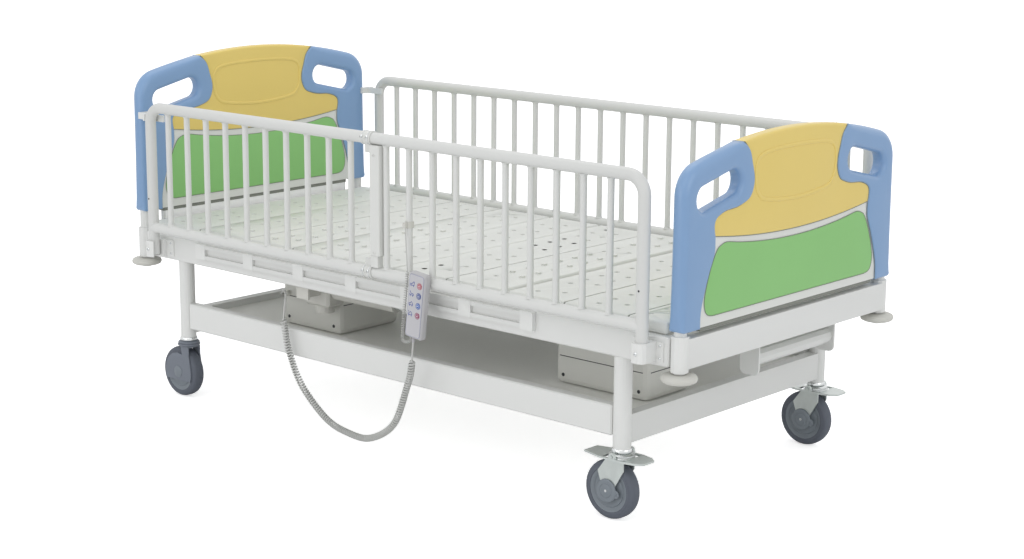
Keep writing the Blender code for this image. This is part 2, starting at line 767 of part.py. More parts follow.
beam_top = DECK_Z - SEAT
beam_end = POST_Y - RAIL_T / 2 - SEAT
beams = []
for x, drop in ((BEAM_A, 0.0), (BEAM_B, BEAM_DROP)):
    high = beam_top - drop
    beams.append(box((x, -beam_end, high - BEAM_H), (x + BEAM_W, beam_end, high)))
tie_low = beam_top - BEAM_H
tie = box((BEAM_A + 0.004, TIE_Y - 0.012, tie_low), (BEAM_B + 0.004, TIE_Y + 0.012, tie_low + 0.020))
add("seat_beams", join(gather(beams), tie), WHITE_STEEL)


# Drives: a housing with a hollow tube, and a rod that slides in it

def drive_rod(pin, y, way, length):
    """Make a push rod; its eye is at the pin and it runs back against the way."""
    x, z = pin
    eye_line = arc(x, z, EYE_D / 2, 0, 330, 11)
    eye = prism(eye_line, "y", y - EYE_T / 2, y + EYE_T / 2)
    low, high = sorted((x, x - way * (EYE_NECK + 0.002)))
    neck_half = ROD_D / 2 - 0.002
    neck = box((low, y - EYE_T / 2, z - neck_half), (high, y + EYE_T / 2, z + neck_half))
    rod = sweep([(x - way * EYE_NECK, y, z), (x - way * length, y, z)], ROD_D / 2, 12, (0, 0, 1))
    hole = prism(arc(x, z, EYE_HOLE / 2, 0, 324, 9), "y", y - EYE_T, y + EYE_T)
    return cut(join(join(eye, neck), rod), hole)


def drive_body(mouth, tail, y, z, way, case_low, case_high, motor_low):
    """Make a drive's tube, gear case and motor, bored for its rod; the tube's mouth faces the way."""
    tube = sweep([(mouth, y, z), (tail - way * 0.002, y, z)], DRIVE_D / 2, 14, (0, 0, 1))
    deep = tail - way * GEAR_BORE
    bore = sweep([(mouth + way * 0.01, y, z), (deep, y, z)], ROD_D / 2 + TURN, 12, (0, 0, 1))
    low, high = sorted((tail, tail - way * GEAR_L))
    case = box((low, y - GEAR_W / 2, case_low), (high, y + GEAR_W / 2, case_high), 0.006)
    middle = (low + high) / 2
    motor = sweep([(middle, y, z), (middle, y, motor_low)], MOTOR_D / 2, 16, (0, 1, 0))
    return cut(join(tube, case, motor), bore)


back_stroke = 2 * LEVER_R * sin(radians(BACK_TILT / 2))
back_reach = EYE_NECK + DRIVE_MOUTH
case_high = beam_top - BEAM_DROP - BEAM_H - SEAT
back_tail = BEAM_B + BEAM_W / 2 - GEAR_L / 2
shape = drive_body(back_pin.x + back_reach, back_tail, BACK_DRIVE_Y, back_pin.y, -1,
                   case_high - GEAR_H, case_high, back_pin.y - BACK_MOTOR_L)
add("back_drive", shape, BOX_GREY)
rod_length = back_reach + DRIVE_IN + back_stroke
shape = drive_rod(back_pin, BACK_DRIVE_Y, -1, rod_length)
add("back_rod", shape, ZINC, (back_pin.x, BACK_DRIVE_Y, back_pin.y))

thigh_stroke = 2 * LEVER_R * sin(radians(THIGH_TILT / 2))
thigh_reach = EYE_NECK + DRIVE_MOUTH
thigh_tail = thigh_pin.x - thigh_reach - THIGH_SPAN
case_low = thigh_pin.y - GEAR_H / 2
shape = drive_body(thigh_pin.x - thigh_reach, thigh_tail, THIGH_DRIVE_Y, thigh_pin.y, 1,
                   case_low, case_low + GEAR_H, thigh_pin.y - THIGH_MOTOR_L)
arm_x = thigh_tail - GEAR_L / 2
rail_inner = -(POST_Y - RAIL_T / 2 - SEAT)
plate = box((arm_x - 0.020, rail_inner, thigh_pin.y - 0.010),
            (arm_x + 0.020, rail_inner + ARM_T, RAIL_TOP - 0.008))
arm = box((arm_x - 0.014, rail_inner + 0.002, thigh_pin.y - 0.006),
          (arm_x + 0.014, THIGH_DRIVE_Y - GEAR_W / 2 + 0.004, thigh_pin.y + 0.018))
add("thigh_drive", join(shape, join(plate, arm)), CREAM)
rod_length = thigh_reach + DRIVE_IN + thigh_stroke
shape = drive_rod(thigh_pin, THIGH_DRIVE_Y, 1, rod_length)
add("thigh_rod", shape, ZINC, (thigh_pin.x, THIGH_DRIVE_Y, thigh_pin.y))


# Boxes that stand on the tray

def tray_box(x, y, size):
    """Make a rounded box that stands on the tray."""
    low = (x - size[0] / 2, y - size[1] / 2, TRAY_TOP + SEAT)
    high = (x + size[0] / 2, y + size[1] / 2, TRAY_TOP + SEAT + size[2])
    return box(low, high, BOX_ROUND, 2)


power_face = POWER_Y - POWER_SIZE[1] / 2
gland_z = TRAY_TOP + SEAT + GLAND_UP
gland_end = (GLAND_X, power_face - GLAND_L, gland_z)
gland = sweep([(GLAND_X, power_face + 0.004, gland_z), gland_end], GLAND_D / 2, 14, (0, 0, 1))
add("power_box", join(tray_box(POWER_X, POWER_Y, POWER_SIZE), gland), BOX_GREY)
add("control_box", tray_box(CONTROL_X, CONTROL_Y, CONTROL_SIZE), BOX_GREY)


# Accessory rail on the near side

def accessory_rail():
    """Make a C profile with spacer blocks and an end latch."""
    face = -(RAIL_FACE + SEAT)
    low, high = RAIL_Z + ACC_UP, RAIL_Z + ACC_UP + ACC_H
    front = face - ACC_DEPTH + SEAT
    outline = [(face, low), (front, low), (front, low + ACC_LIP), (face - ACC_FLOOR, low + ACC_LIP)]
    outline += [(face - ACC_FLOOR, high - ACC_LIP), (front, high - ACC_LIP), (front, high), (face, high)]
    whole = prism(outline, "x", ACC_HEAD, ACC_FOOT)
    blocks = []
    for k in range(ACC_BLOCKS):
        span = ACC_FOOT - ACC_HEAD - ACC_BLOCK_W
        x = ACC_HEAD + span * k / (ACC_BLOCKS - 1)
        lift = 0.001 if k < ACC_BLOCKS - 1 else (LATCH_H - ACC_H) / 2
        start = (x - 0.0005, front - 0.0005, low - lift)
        blocks.append(box(start, (x + ACC_BLOCK_W, face - 0.001, high + lift)))
    return join(whole, gather(blocks))


add("accessory_rail", accessory_rail(), WHITE_STEEL)


# Guards

def corner_path(way, reach, stop, y):
    """List the points of an end tube that bends over into the top rail."""
    x = way * reach
    spots = [(x, y, GUARD_FOOT)]
    for u, v in arc(0, GUARD_TOP - GUARD_BEND, GUARD_BEND, 0, 90, 4):
        spots.append((x - way * (GUARD_BEND - u), y, v))
    return spots + [(stop, y, GUARD_TOP)]


def bars(places, y):
    """Make upright bars between the guard's rails."""
    return gather([post(x, y, GUARD_BOTTOM, GUARD_TOP, BAR_D, 8) for x in places])


def half_guard(way, reach, stop, places, y):
    """Make one half of a guard, from its end tube to the middle post."""
    whole = sweep(corner_path(way, reach, stop, y), GUARD_D / 2, 12, (0, 1, 0))
    lower = sweep([(way * reach, y, GUARD_BOTTOM), (stop, y, GUARD_BOTTOM)], GUARD_D / 2, 12, (0, 1, 0))
    return join(join(whole, lower), bars(places, y))


def spread(first, last, count):
    """List evenly spaced places."""
    return [first + (last - first) * k / (count - 1) for k in range(count)]


near_y = -GUARD_Y
tube_r = GUARD_D / 2
clamp_low = CLAMP_X - CLAMP_L / 2
clamp_high = CLAMP_X + CLAMP_L / 2
head_places = spread(-GUARD_HEAD_X + HEAD_BAR_END, CLAMP_X - HEAD_BAR_POST, HEAD_BARS)
foot_places = spread(CLAMP_X + FOOT_BAR_POST, GUARD_X - FOOT_BAR_END, FOOT_BARS)
far_places = spread(-GUARD_X + FAR_BAR_END, GUARD_X - FAR_BAR_END, FAR_BARS)

add("guard_near_head", half_guard(-1, GUARD_HEAD_X, clamp_low - SEAT, head_places, near_y), WHITE_STEEL)
add("guard_near_foot", half_guard(1, GUARD_X, clamp_high + SEAT, foot_places, near_y), WHITE_STEEL)

cover_x = clamp_high - 0.001
cover_y = near_y - tube_r - COVER_OUT + 0.003
cover_low, cover_high = GUARD_BOTTOM + tube_r + SEAT, GUARD_TOP - tube_r - SEAT
cover = box((cover_x, cover_y, cover_low + COVER_FOOT_H),
            (cover_x + COVER_W, cover_y + COVER_T, cover_high), 0.002)
foot = box((cover_x, cover_y + 0.003, cover_low),
           (cover_x + COVER_FOOT_W, cover_y + COVER_T - 0.003, cover_low + COVER_FOOT_H + 0.004))
whole = join(cover, foot)
for z, lug_z in ((GUARD_BOTTOM, cover_low), (GUARD_TOP, cover_high - LUG_H)):
    ring = sweep([(clamp_low, near_y, z), (clamp_high, near_y, z)], CLAMP_D / 2, 14, (0, 1, 0))
    lug = box((CLAMP_X - CLAMP_L * 0.2, near_y - LUG_T / 2, lug_z),
              (cover_x + 0.004, near_y + LUG_T / 2, lug_z + LUG_H))
    whole = join(whole, join(ring, lug))
add("guard_near_post", whole, WHITE_STEEL)

far_top = corner_path(-1, GUARD_FAR_HEAD_X, 0.0, GUARD_Y)[:-1] + corner_path(1, GUARD_X, 0.0, GUARD_Y)[:-1][::-1]
far = sweep(far_top, tube_r, 12, (0, 1, 0))
lower = sweep([(-GUARD_FAR_HEAD_X, GUARD_Y, GUARD_BOTTOM), (GUARD_X, GUARD_Y, GUARD_BOTTOM)], tube_r, 12, (0, 1, 0))
add("guard_far", join(join(far, lower), bars(far_places, GUARD_Y)), WHITE_STEEL)


# Boards: two blue side frames, a yellow upper panel, a pale ground and a green lower panel

def arch(y):
    """Height of a board's top line at a distance from its middle."""
    return BOARD_H - ARCH_DROP * (y / ARCH_SPAN) ** 2


def seam(y):
    """Height of the line under the upper panel."""
    return SEAM_UP + SEAM_RISE * (y / LEG_WAIST) ** 2


def waist_line():
    """List the side frame's inner line from the seam down to the foot, for the right half."""
    spots = []
    for down, out in ((0, 0), (0.16, 0), (0.27, 0.17), (0.39, 0.40), (0.61, 0.74), (0.81, 0.97), (1, 1)):
        spots.append((LEG_WAIST + (LEG_INNER - LEG_WAIST) * out, seam(LEG_WAIST) * (1 - down)))
    return spots


def arm_line():
    """List the side frame's inner line from the arch down to the seam, for the right half."""
    hook_y, hook_z = HOLE_Y - HOLE_HALF - ARM_BAND, HOLE_UP + 0.010
    top_y = hook_y + 0.036
    spots = [(top_y, arch(top_y)), (hook_y + 0.017, arch(top_y) - 0.020), (hook_y + 0.008, hook_z + 0.033)]
    spots += [(hook_y + 0.002, hook_z + 0.014), (hook_y, hook_z), (hook_y + 0.0015, hook_z - 0.013)]
    spots += [(hook_y + 0.0065, hook_z - 0.026), (hook_y + 0.015, hook_z - 0.036)]
    spots += [(hook_y + 0.028, hook_z - 0.042), (hook_y + 0.0555, hook_z - 0.049)]
    tip = LEG_WAIST + 0.0035
    low = seam(LEG_WAIST)
    spots += [(tip - 0.038, low + 0.047), (tip - 0.0145, low + 0.040), (tip - 0.004, low + 0.033)]
    return spots + [(tip, low + 0.024), (tip - 0.001, low + 0.010)]


def shoulder_line():
    """List the side frame's outer line from the arch to the foot, for the right half."""
    slope = degrees(atan2(2 * ARCH_DROP * (BOARD_HALF - SHOULDER_R * 0.8), ARCH_SPAN ** 2))
    start = 90 - slope
    y0 = BOARD_HALF - SHOULDER_R + SHOULDER_R * cos(radians(start))
    centre = arch(y0) - SHOULDER_R * sin(radians(start))
    spots = arc(BOARD_HALF - SHOULDER_R, centre, SHOULDER_R, start, 0, 6)
    return spots + [(BOARD_HALF, 0.010), (BOARD_HALF - 0.008, 0.0)]


def hole_line():
    """List the outline of a hand-hole, for the right half."""
    slant = radians(-HOLE_SLANT)
    run = HOLE_HALF - HOLE_R
    spots = arc(run, 0, HOLE_R, -90, 90, 5) + arc(-run, 0, HOLE_R, 90, 270, 5)
    turned = []
    for u, v in spots:
        turned.append((HOLE_Y + u * cos(slant) - v * sin(slant), HOLE_UP + u * sin(slant) + v * cos(slant)))
    return turned


def waist_at(z):
    """Find how far from the middle the side frame's inner line runs at a height."""
    spots = waist_line()
    for (y0, z0), (y1, z1) in zip(spots, spots[1:]):
        if z1 <= z <= z0 and z0 > z1:
            return y0 + (y1 - y0) * (z0 - z) / (z0 - z1)
    return LEG_INNER


def lower_line():
    """List the right half of the lower panel's outline, from the top middle to the bottom middle."""
    edge = LEG_WAIST - 0.042
    top = [(edge * k / 4, LOWER_TOP + (seam(edge * k / 4) - SEAM_UP) * 1.3) for k in range(5)]
    knee = LEG_WAIST - 0.020
    side = [(knee, LOWER_TOP + 0.0135), (knee + 0.010, LOWER_TOP + 0.0065)]
    for z, border in ((LOWER_TOP - 0.016, 0.0045), (LOWER_MARGIN + 0.071, 0.0045), (LOWER_MARGIN + 0.034, 0.0077),
                      (LOWER_MARGIN + 0.012, 0.0178)):
        side.append((waist_at(z) - border, z))
    side += [(LEG_INNER - 0.029, LOWER_MARGIN + 0.003), (LEG_INNER - 0.045, LOWER_MARGIN)]
    return top + side + [(0.0, LOWER_MARGIN)]


def whole_line(half):
    """Close a right half with its mirror; the half starts and ends on the middle line."""
    return half + [(-y, z) for y, z in reversed(half) if abs(y) > 1e-9]


def drop_close(outline):
    """Leave out points that repeat the one before them."""
    kept = []
    for spot in outline:
        if not kept or (Vector(spot) - Vector(kept[-1])).length > 0.0015:
            kept.append(spot)
    return kept


def board(end, way):
    """Make the five pieces of one board."""
    x = way * POST_X
    base = HEAD_BOARD_Z if end == "head" else FOOT_BOARD_Z
    rise = HEAD_RISE if end == "head" else 0.0
    name = end + "board_"
    arm, waist = arm_line(), waist_line()
    seam_spots = [(LEG_WAIST * k / 5, seam(LEG_WAIST * k / 5)) for k in range(6)]
    top_spots = [(arm[0][0] * k / 4, arch(arm[0][0] * k / 4)) for k in range(5)]
    side_right = [arm[0]] + shoulder_line() + [(LEG_INNER + 0.006, 0.0)] + waist[::-1] + arm[::-1][:-1]
    side_right = drop_close(side_right)
    upper = drop_close(top_spots + arm[1:] + seam_spots[::-1])
    ground = drop_close(seam_spots + waist[1:-1] + [(LEG_INNER, 0.002), (0.0, 0.002)])
    lower = lower_line()
    group = bpy.data.objects.new(name + "lift", None)
    group.location = (x, 0, base)
    bpy.context.collection.objects.link(group)
    bpy.context.view_layer.update()

    def lifted(outline):
        return [(y, z + base + rise * min(1.0, z / SEAM_UP)) for y, z in outline]

    def plate(outline, thick, edge, gap):
        return prism(shifted(lifted(outline), gap), "x", x - thick / 2, x + thick / 2, edge)

    half_gap = PANEL_GAP / 2
    for side, turn in SIDES:
        line = [(turn * y, z) for y, z in side_right]
        hole = lifted([(turn * y, z) for y, z in hole_line()])
        shape = plate(line, SIDE_T, 0.005, half_gap)
        shape = cut(shape, prism(hole, "x", x - SIDE_T, x + SIDE_T))
        socket = post(x, turn * POST_Y, base - 0.01, base + PEG_IN + SEAT, PEG_D + 2 * SLIDE, 12)
        add(name + "side_" + side, cut(shape, socket), BLUE, (x, 0, base), group)
    add(name + "upper", plate(whole_line(upper), UPPER_T, 0.0, half_gap), YELLOW, (x, 0, base), group)
    shape = plate(whole_line(ground), GROUND_T, 0.0, half_gap)
    opening = prism(shifted(lifted(whole_line(lower)), -half_gap), "x", x - 0.03, x + 0.03)
    add(name + "ground", cut(shape, opening), GROUND, (x, 0, base), group)
    add(name + "lower", plate(whole_line(lower), LOWER_T, 0.0, half_gap), GREEN, (x, 0, base), group)
    return group


def guard_clip(way, turn, reach):
    """Make an arm that steadies a guard's end tube at a board, with an ear behind the tube."""
    back = POST_X - SIDE_T / 2 - SEAT
    high = GUARD_Y - GUARD_D / 2 - CLIP_SIDE
    low = high - CLIP_T
    foot = low - CLIP_FOOT
    ear = reach + GUARD_D / 2 + CLIP_ROOM
    tip = reach - GUARD_D / 2 - CLIP_ROOM - CLIP_T
    outline = [(back, foot), (back, high), (ear + CLIP_T, high), (ear + CLIP_T, GUARD_Y), (ear, GUARD_Y)]
    outline += [(ear, high), (tip, high), (tip, low), (back - CLIP_WEB, low), (back - CLIP_WEB, foot)]
    line = [(way * u, turn * v) for u, v in outline]
    return prism(line, "z", CLIP_Z - CLIP_H / 2, CLIP_Z + CLIP_H / 2)


for end, way in ENDS:
    group = board(end, way)
    if end == "foot":
        continue
    for side, turn in SIDES:
        origin = (way * POST_X, turn * GUARD_Y, CLIP_Z)
        reach = GUARD_HEAD_X if side == "near" else GUARD_FAR_HEAD_X
        add("guard_clip_" + side, guard_clip(way, turn, reach), WHITE_STEEL, origin, group)


# Handset, hung over the near guard's lower rail, with its buttons

HAND_BACK = -(GUARD_Y + GUARD_D / 2 + SEAT)
HAND_FRONT = HAND_BACK - HAND_T
hook_pivot = Vector((HAND_X, 0, GUARD_BOTTOM + GUARD_D / 2))


def leaned(spot):
    """Turn a point with the handset, which leans about its hook."""
    turn = Matrix.Rotation(radians(HAND_LEAN), 3, "Y")
    return turn @ (Vector(spot) - hook_pivot) + hook_pivot


def lean(shape):
    """Turn a whole shape with the handset."""
    for vert in shape.verts:
        vert.co = leaned(vert.co)
    return shape


hand_low = HAND_TOP - HAND_H
body = box((HAND_X - HAND_W / 2, HAND_FRONT, hand_low),
           (HAND_X + HAND_W / 2, HAND_BACK, HAND_TOP), HAND_ROUND * 0.7, 2)
hook_z = GUARD_BOTTOM + GUARD_D / 2 + HOOK_GAP
hook_in = -(GUARD_Y - GUARD_D / 2 - HOOK_GAP)
hook_high = (HAND_X + HOOK_W / 2, hook_in + HOOK_T, hook_z + HOOK_T)
over = box((HAND_X - HOOK_W / 2, HAND_BACK - 0.004, hook_z), hook_high)
lip = box((HAND_X - HOOK_W / 2, hook_in, hook_z - HOOK_LIP), hook_high)
relief_y = (HAND_FRONT + HAND_BACK) / 2
relief = sweep([(HAND_X, relief_y, hand_low + 0.004), (HAND_X, relief_y, hand_low - RELIEF_L)],
               RELIEF_D / 2, 10, (0, 1, 0))
hand = join(lean(join(body, relief)), join(over, lip))
sockets = []
button_x = HAND_X + BUTTON_SIDE
for k in range(4):
    z = HAND_TOP - BUTTON_FIRST - BUTTON_PITCH * k
    spots = [(button_x, HAND_FRONT - 0.01, z), (button_x, HAND_FRONT + BUTTON_IN + BUTTON_PRESS + SEAT, z)]
    sockets.append(lean(sweep(spots, BUTTON_D / 2 + SLIDE, 10, (0, 0, 1))))
hand_object = add("handset", cut(hand, gather(sockets)), HAND_GREY, tuple(hook_pivot))
for k, colour in enumerate((BUTTON_RED, BUTTON_BLUE, BUTTON_BLUE, BUTTON_RED)):
    z = HAND_TOP - BUTTON_FIRST - BUTTON_PITCH * k
    profile = [(0, 0.0), (BUTTON_D / 2 - 0.001, 0.0), (BUTTON_D / 2, 0.0006)]
    profile += [(BUTTON_D / 2, BUTTON_UP + BUTTON_IN), (0, BUTTON_UP + BUTTON_IN)]
    shape = lean(lathe(profile, (button_x, HAND_FRONT - BUTTON_UP, z), "y", 10))
    pivot = tuple(leaned((button_x, HAND_FRONT, z)))
    add("handset_button_" + str(k + 1), shape, colour, pivot, hand_object)


# Cords: points of a smooth centre line, then curls wound about it

def smooth(spots, count):
    """Read evenly spaced points from a smooth curve through the given spots."""
    knots = [Vector(s) for s in spots]
    knots = [2 * knots[0] - knots[1]] + knots + [2 * knots[-1] - knots[-2]]
    dense = []
    for i in range(1, len(knots) - 2):
        a, b, c, d = knots[i - 1: i + 3]
        for k in range(40):
            t = k / 40
            part = 2 * b + (c - a) * t + (2 * a - 5 * b + 4 * c - d) * t * t
            dense.append((part + (3 * b - a - 3 * c + d) * t ** 3) / 2)
    dense.append(knots[-2])
    lengths = [0.0]
    for a, b in zip(dense, dense[1:]):
        lengths.append(lengths[-1] + (b - a).length)
    result, j = [], 0
    for k in range(count + 1):
        want = lengths[-1] * k / count
        while j < len(lengths) - 2 and lengths[j + 1] < want:
            j += 1
        share = (want - lengths[j]) / max(1e-12, lengths[j + 1] - lengths[j])
        result.append(dense[j].lerp(dense[j + 1], min(1.0, max(0.0, share))))
    return result, lengths[-1]


def curled(spots, curls, radius):
    """Wind curls about a smooth centre line; the first and last curl grow from it."""
    count = curls * CURL_POINTS
    line, length = smooth(spots, count)
    normal = Vector((0, 1, 0))
    result = []
    for i, spot in enumerate(line):
        ahead = (line[min(i + 1, count)] - line[max(i - 1, 0)]).normalized()
        normal = (normal - ahead * normal.dot(ahead)).normalized()
        across = ahead.cross(normal)
        grow = min(1.0, i / CURL_POINTS, (count - i) / CURL_POINTS)
        angle = 2 * pi * i / CURL_POINTS
        result.append(spot + radius * grow * (cos(angle) * normal + sin(angle) * across))
    return result, length


def segment_gap(a, b, c, d):
    """Least distance between two short straight stretches."""
    u, v, w = b - a, d - c, a - c
    uu, uv, vv, uw, vw = u.dot(u), u.dot(v), v.dot(v), u.dot(w), v.dot(w)
    below = uu * vv - uv * uv
    s = min(1.0, max(0.0, (uv * vw - vv * uw) / below)) if below > 1e-18 else 0.0
    t = min(1.0, max(0.0, (uv * s + vw) / vv)) if vv > 1e-18 else 0.0
    s = min(1.0, max(0.0, (uv * t - uw) / uu)) if uu > 1e-18 else 0.0
    return (w + u * s - v * t).length


def report_gap(name, points, diameter):
    """Print the least gap that a cord keeps to itself."""
    least = 1.0
    for i in range(len(points) - 1):
        for j in range(i + 4, min(len(points) - 1, i + 3 * CURL_POINTS)):
            least = min(least, segment_gap(points[i], points[i + 1], points[j], points[j + 1]))
    print(name, "least gap to itself, mm:", round((least - diameter) * 1000, 2))


def cord(name, points, diameter):
    """Make one unbroken round cord through points."""
    curve = bpy.data.curves.new(name, "CURVE")
    curve.dimensions = "3D"
    curve.bevel_depth = diameter / 2
    curve.bevel_resolution = 1
    curve.use_fill_caps = True
    spline = curve.splines.new("POLY")
    spline.points.add(len(points) - 1)
    for spot, where in zip(spline.points, points):
        spot.co = (*where, 1.0)
    curve.materials.append(material(name, *CORD_GREY))
    made = bpy.data.objects.new(name, curve)
    bpy.context.collection.objects.link(made)
    report_gap(name, points, diameter)
    return made


out_of_box = Vector((0, -1, 0))
relief_end = leaned((HAND_X, relief_y, hand_low - RELIEF_L))
down = (relief_end - leaned((HAND_X, relief_y, hand_low))).normalized()
lead_start = Vector(gland_end) + out_of_box * SEAT
lead_route = [lead_start + out_of_box * CORD_D * 2, Vector((-0.404, -0.298, 0.297))]
lead_route += [Vector((-0.350, -0.336, 0.318)), Vector((-0.308, -0.370, 0.316))]
coil_start = Vector((-0.2960, -0.3870, 0.275))
coil_end = relief_end + down * SEAT
coil_last = coil_end + down * CORD_D * 2
coil_route = [coil_start, (-0.293, -0.386, 0.238), (-0.279, -0.386, 0.187), (-0.238, -0.386, 0.117)]
coil_route += [(-0.154, -0.390, 0.056), (-0.080, -0.394, 0.038), (0.002, -0.400, 0.042)]
coil_route += [(0.088, -0.410, 0.094), (0.138, -0.418, 0.190), (0.154, -0.424, 0.240), tuple(coil_last)]
lead_points, lead_length = smooth(lead_route + [coil_start], 14)
lead_points = [lead_start] + lead_points
lead_way = (lead_points[-1] - lead_points[-2]).normalized()
coil_route[0] = coil_start + lead_way * (SEAT + CORD_D * 1.2)
coil_points, coil_length = curled(coil_route, CORD_CURLS, (COIL_D - CORD_D) / 2)
cord("cord_lead", lead_points, CORD_D)
coil_points = [coil_start + lead_way * SEAT] + coil_points + [coil_end + down * CORD_D, coil_end]
cord("cord_coil", coil_points, CORD_D)

side = HAND_X - HAND_W / 2 - LANYARD_COIL / 2 - LANYARD_OUT
middle = (HAND_FRONT + HAND_BACK) / 2
bar_x = min(foot_places, key=lambda place_x: abs(place_x - side))
bar_face = near_y - BAR_D / 2
band_low, band_high = CLIP_BAND_UP - CLIP_BAND / 2, CLIP_BAND_UP + CLIP_BAND / 2
band = cut(post(bar_x, near_y, band_low, band_high, BAR_D + 0.006, 16),
           post(bar_x, near_y, band_low - 0.01, band_high + 0.01, BAR_D + 2 * SEAT, 8))
lug = box((bar_x - 0.004, bar_face - 0.010, CLIP_BAND_UP - 0.006),
          (bar_x + 0.004, bar_face - 0.0018, CLIP_BAND_UP + 0.006))
clip = join(band, lug)
add("lanyard_clip", clip, HAND_GREY, (bar_x, near_y, CLIP_BAND_UP))
knot = Vector((bar_x, bar_face - 0.006, CLIP_BAND_UP - 0.006 - SEAT))
curl_top = leaned((side, middle, HAND_TOP - 0.004))
curl_low = leaned((side, middle, hand_low + 0.006))
turn_low = leaned((side + 0.007, middle, hand_low - 0.016))
under = leaned((HAND_X - 0.014, middle, hand_low - 0.012))
loop_end = leaned((HAND_X - 0.014, middle, hand_low)) + down * SEAT
strand, strand_length = smooth([knot, knot - Vector((0, 0, 0.006)), (knot + curl_top) / 2, curl_top], 8)
curl_r = (LANYARD_COIL - LANYARD_D) / 2
curls, lanyard_length = curled([curl_top, curl_low, turn_low, under], LANYARD_CURLS, curl_r)
cord("lanyard", strand[:-1] + curls + [loop_end + down * 0.004, loop_end], LANYARD_D)

print("cord lead, mm:", round(lead_length * 1000), "coil, mm:", round(coil_length * 1000))
print("back pin:", tuple(round(v, 4) for v in back_pin), "stroke:", round(back_stroke, 4))
print("thigh pin:", tuple(round(v, 4) for v in thigh_pin), "stroke:", round(thigh_stroke, 4))
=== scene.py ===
"""Looks of a child's hospital bed: tube guards, moulded boards, lying surface, casters, handset, cords."""
from math import atan2, cos, degrees, hypot, pi, radians, sin

import bmesh
import bpy
from mathutils import Matrix, Vector


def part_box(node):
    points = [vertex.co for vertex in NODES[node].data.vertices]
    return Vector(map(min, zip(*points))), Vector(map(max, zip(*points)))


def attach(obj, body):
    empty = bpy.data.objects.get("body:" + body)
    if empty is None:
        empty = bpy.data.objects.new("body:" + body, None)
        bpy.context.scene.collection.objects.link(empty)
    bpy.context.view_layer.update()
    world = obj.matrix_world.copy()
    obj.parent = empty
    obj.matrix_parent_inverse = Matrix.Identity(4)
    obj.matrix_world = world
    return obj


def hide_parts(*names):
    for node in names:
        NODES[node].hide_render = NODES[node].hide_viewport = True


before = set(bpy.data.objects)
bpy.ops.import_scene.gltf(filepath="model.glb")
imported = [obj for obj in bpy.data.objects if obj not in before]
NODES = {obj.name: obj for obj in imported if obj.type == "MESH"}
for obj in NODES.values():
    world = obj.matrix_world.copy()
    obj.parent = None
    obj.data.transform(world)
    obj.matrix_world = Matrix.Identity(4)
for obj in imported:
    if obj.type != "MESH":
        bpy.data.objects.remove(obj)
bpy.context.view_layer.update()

# Camera at the photograph's angle

YAW, PITCH, ROLL = radians(41.74), radians(12.13), radians(0.38)
SENSOR = 36
FOCAL_PIXELS, PHOTO_WIDTH = 1944.23, 1024
look = Vector((-sin(YAW) * cos(PITCH), cos(YAW) * cos(PITCH), -sin(PITCH)))
level = Vector((cos(YAW), sin(YAW), 0))
over = level.cross(look)
right = level * cos(ROLL) + over * sin(ROLL)
upward = over * cos(ROLL) - level * sin(ROLL)
stand = Matrix((right, upward, -look)).transposed().to_4x4()
stand.translation = Vector((3.03407, -3.32214, 1.31144))
lens = bpy.data.cameras.new("camera")
lens.sensor_width = SENSOR
lens.lens = SENSOR * FOCAL_PIXELS / PHOTO_WIDTH
camera = bpy.data.objects.new("camera", lens)
bpy.context.collection.objects.link(camera)
camera.matrix_world = stand
bpy.context.scene.camera = camera


# Finishes

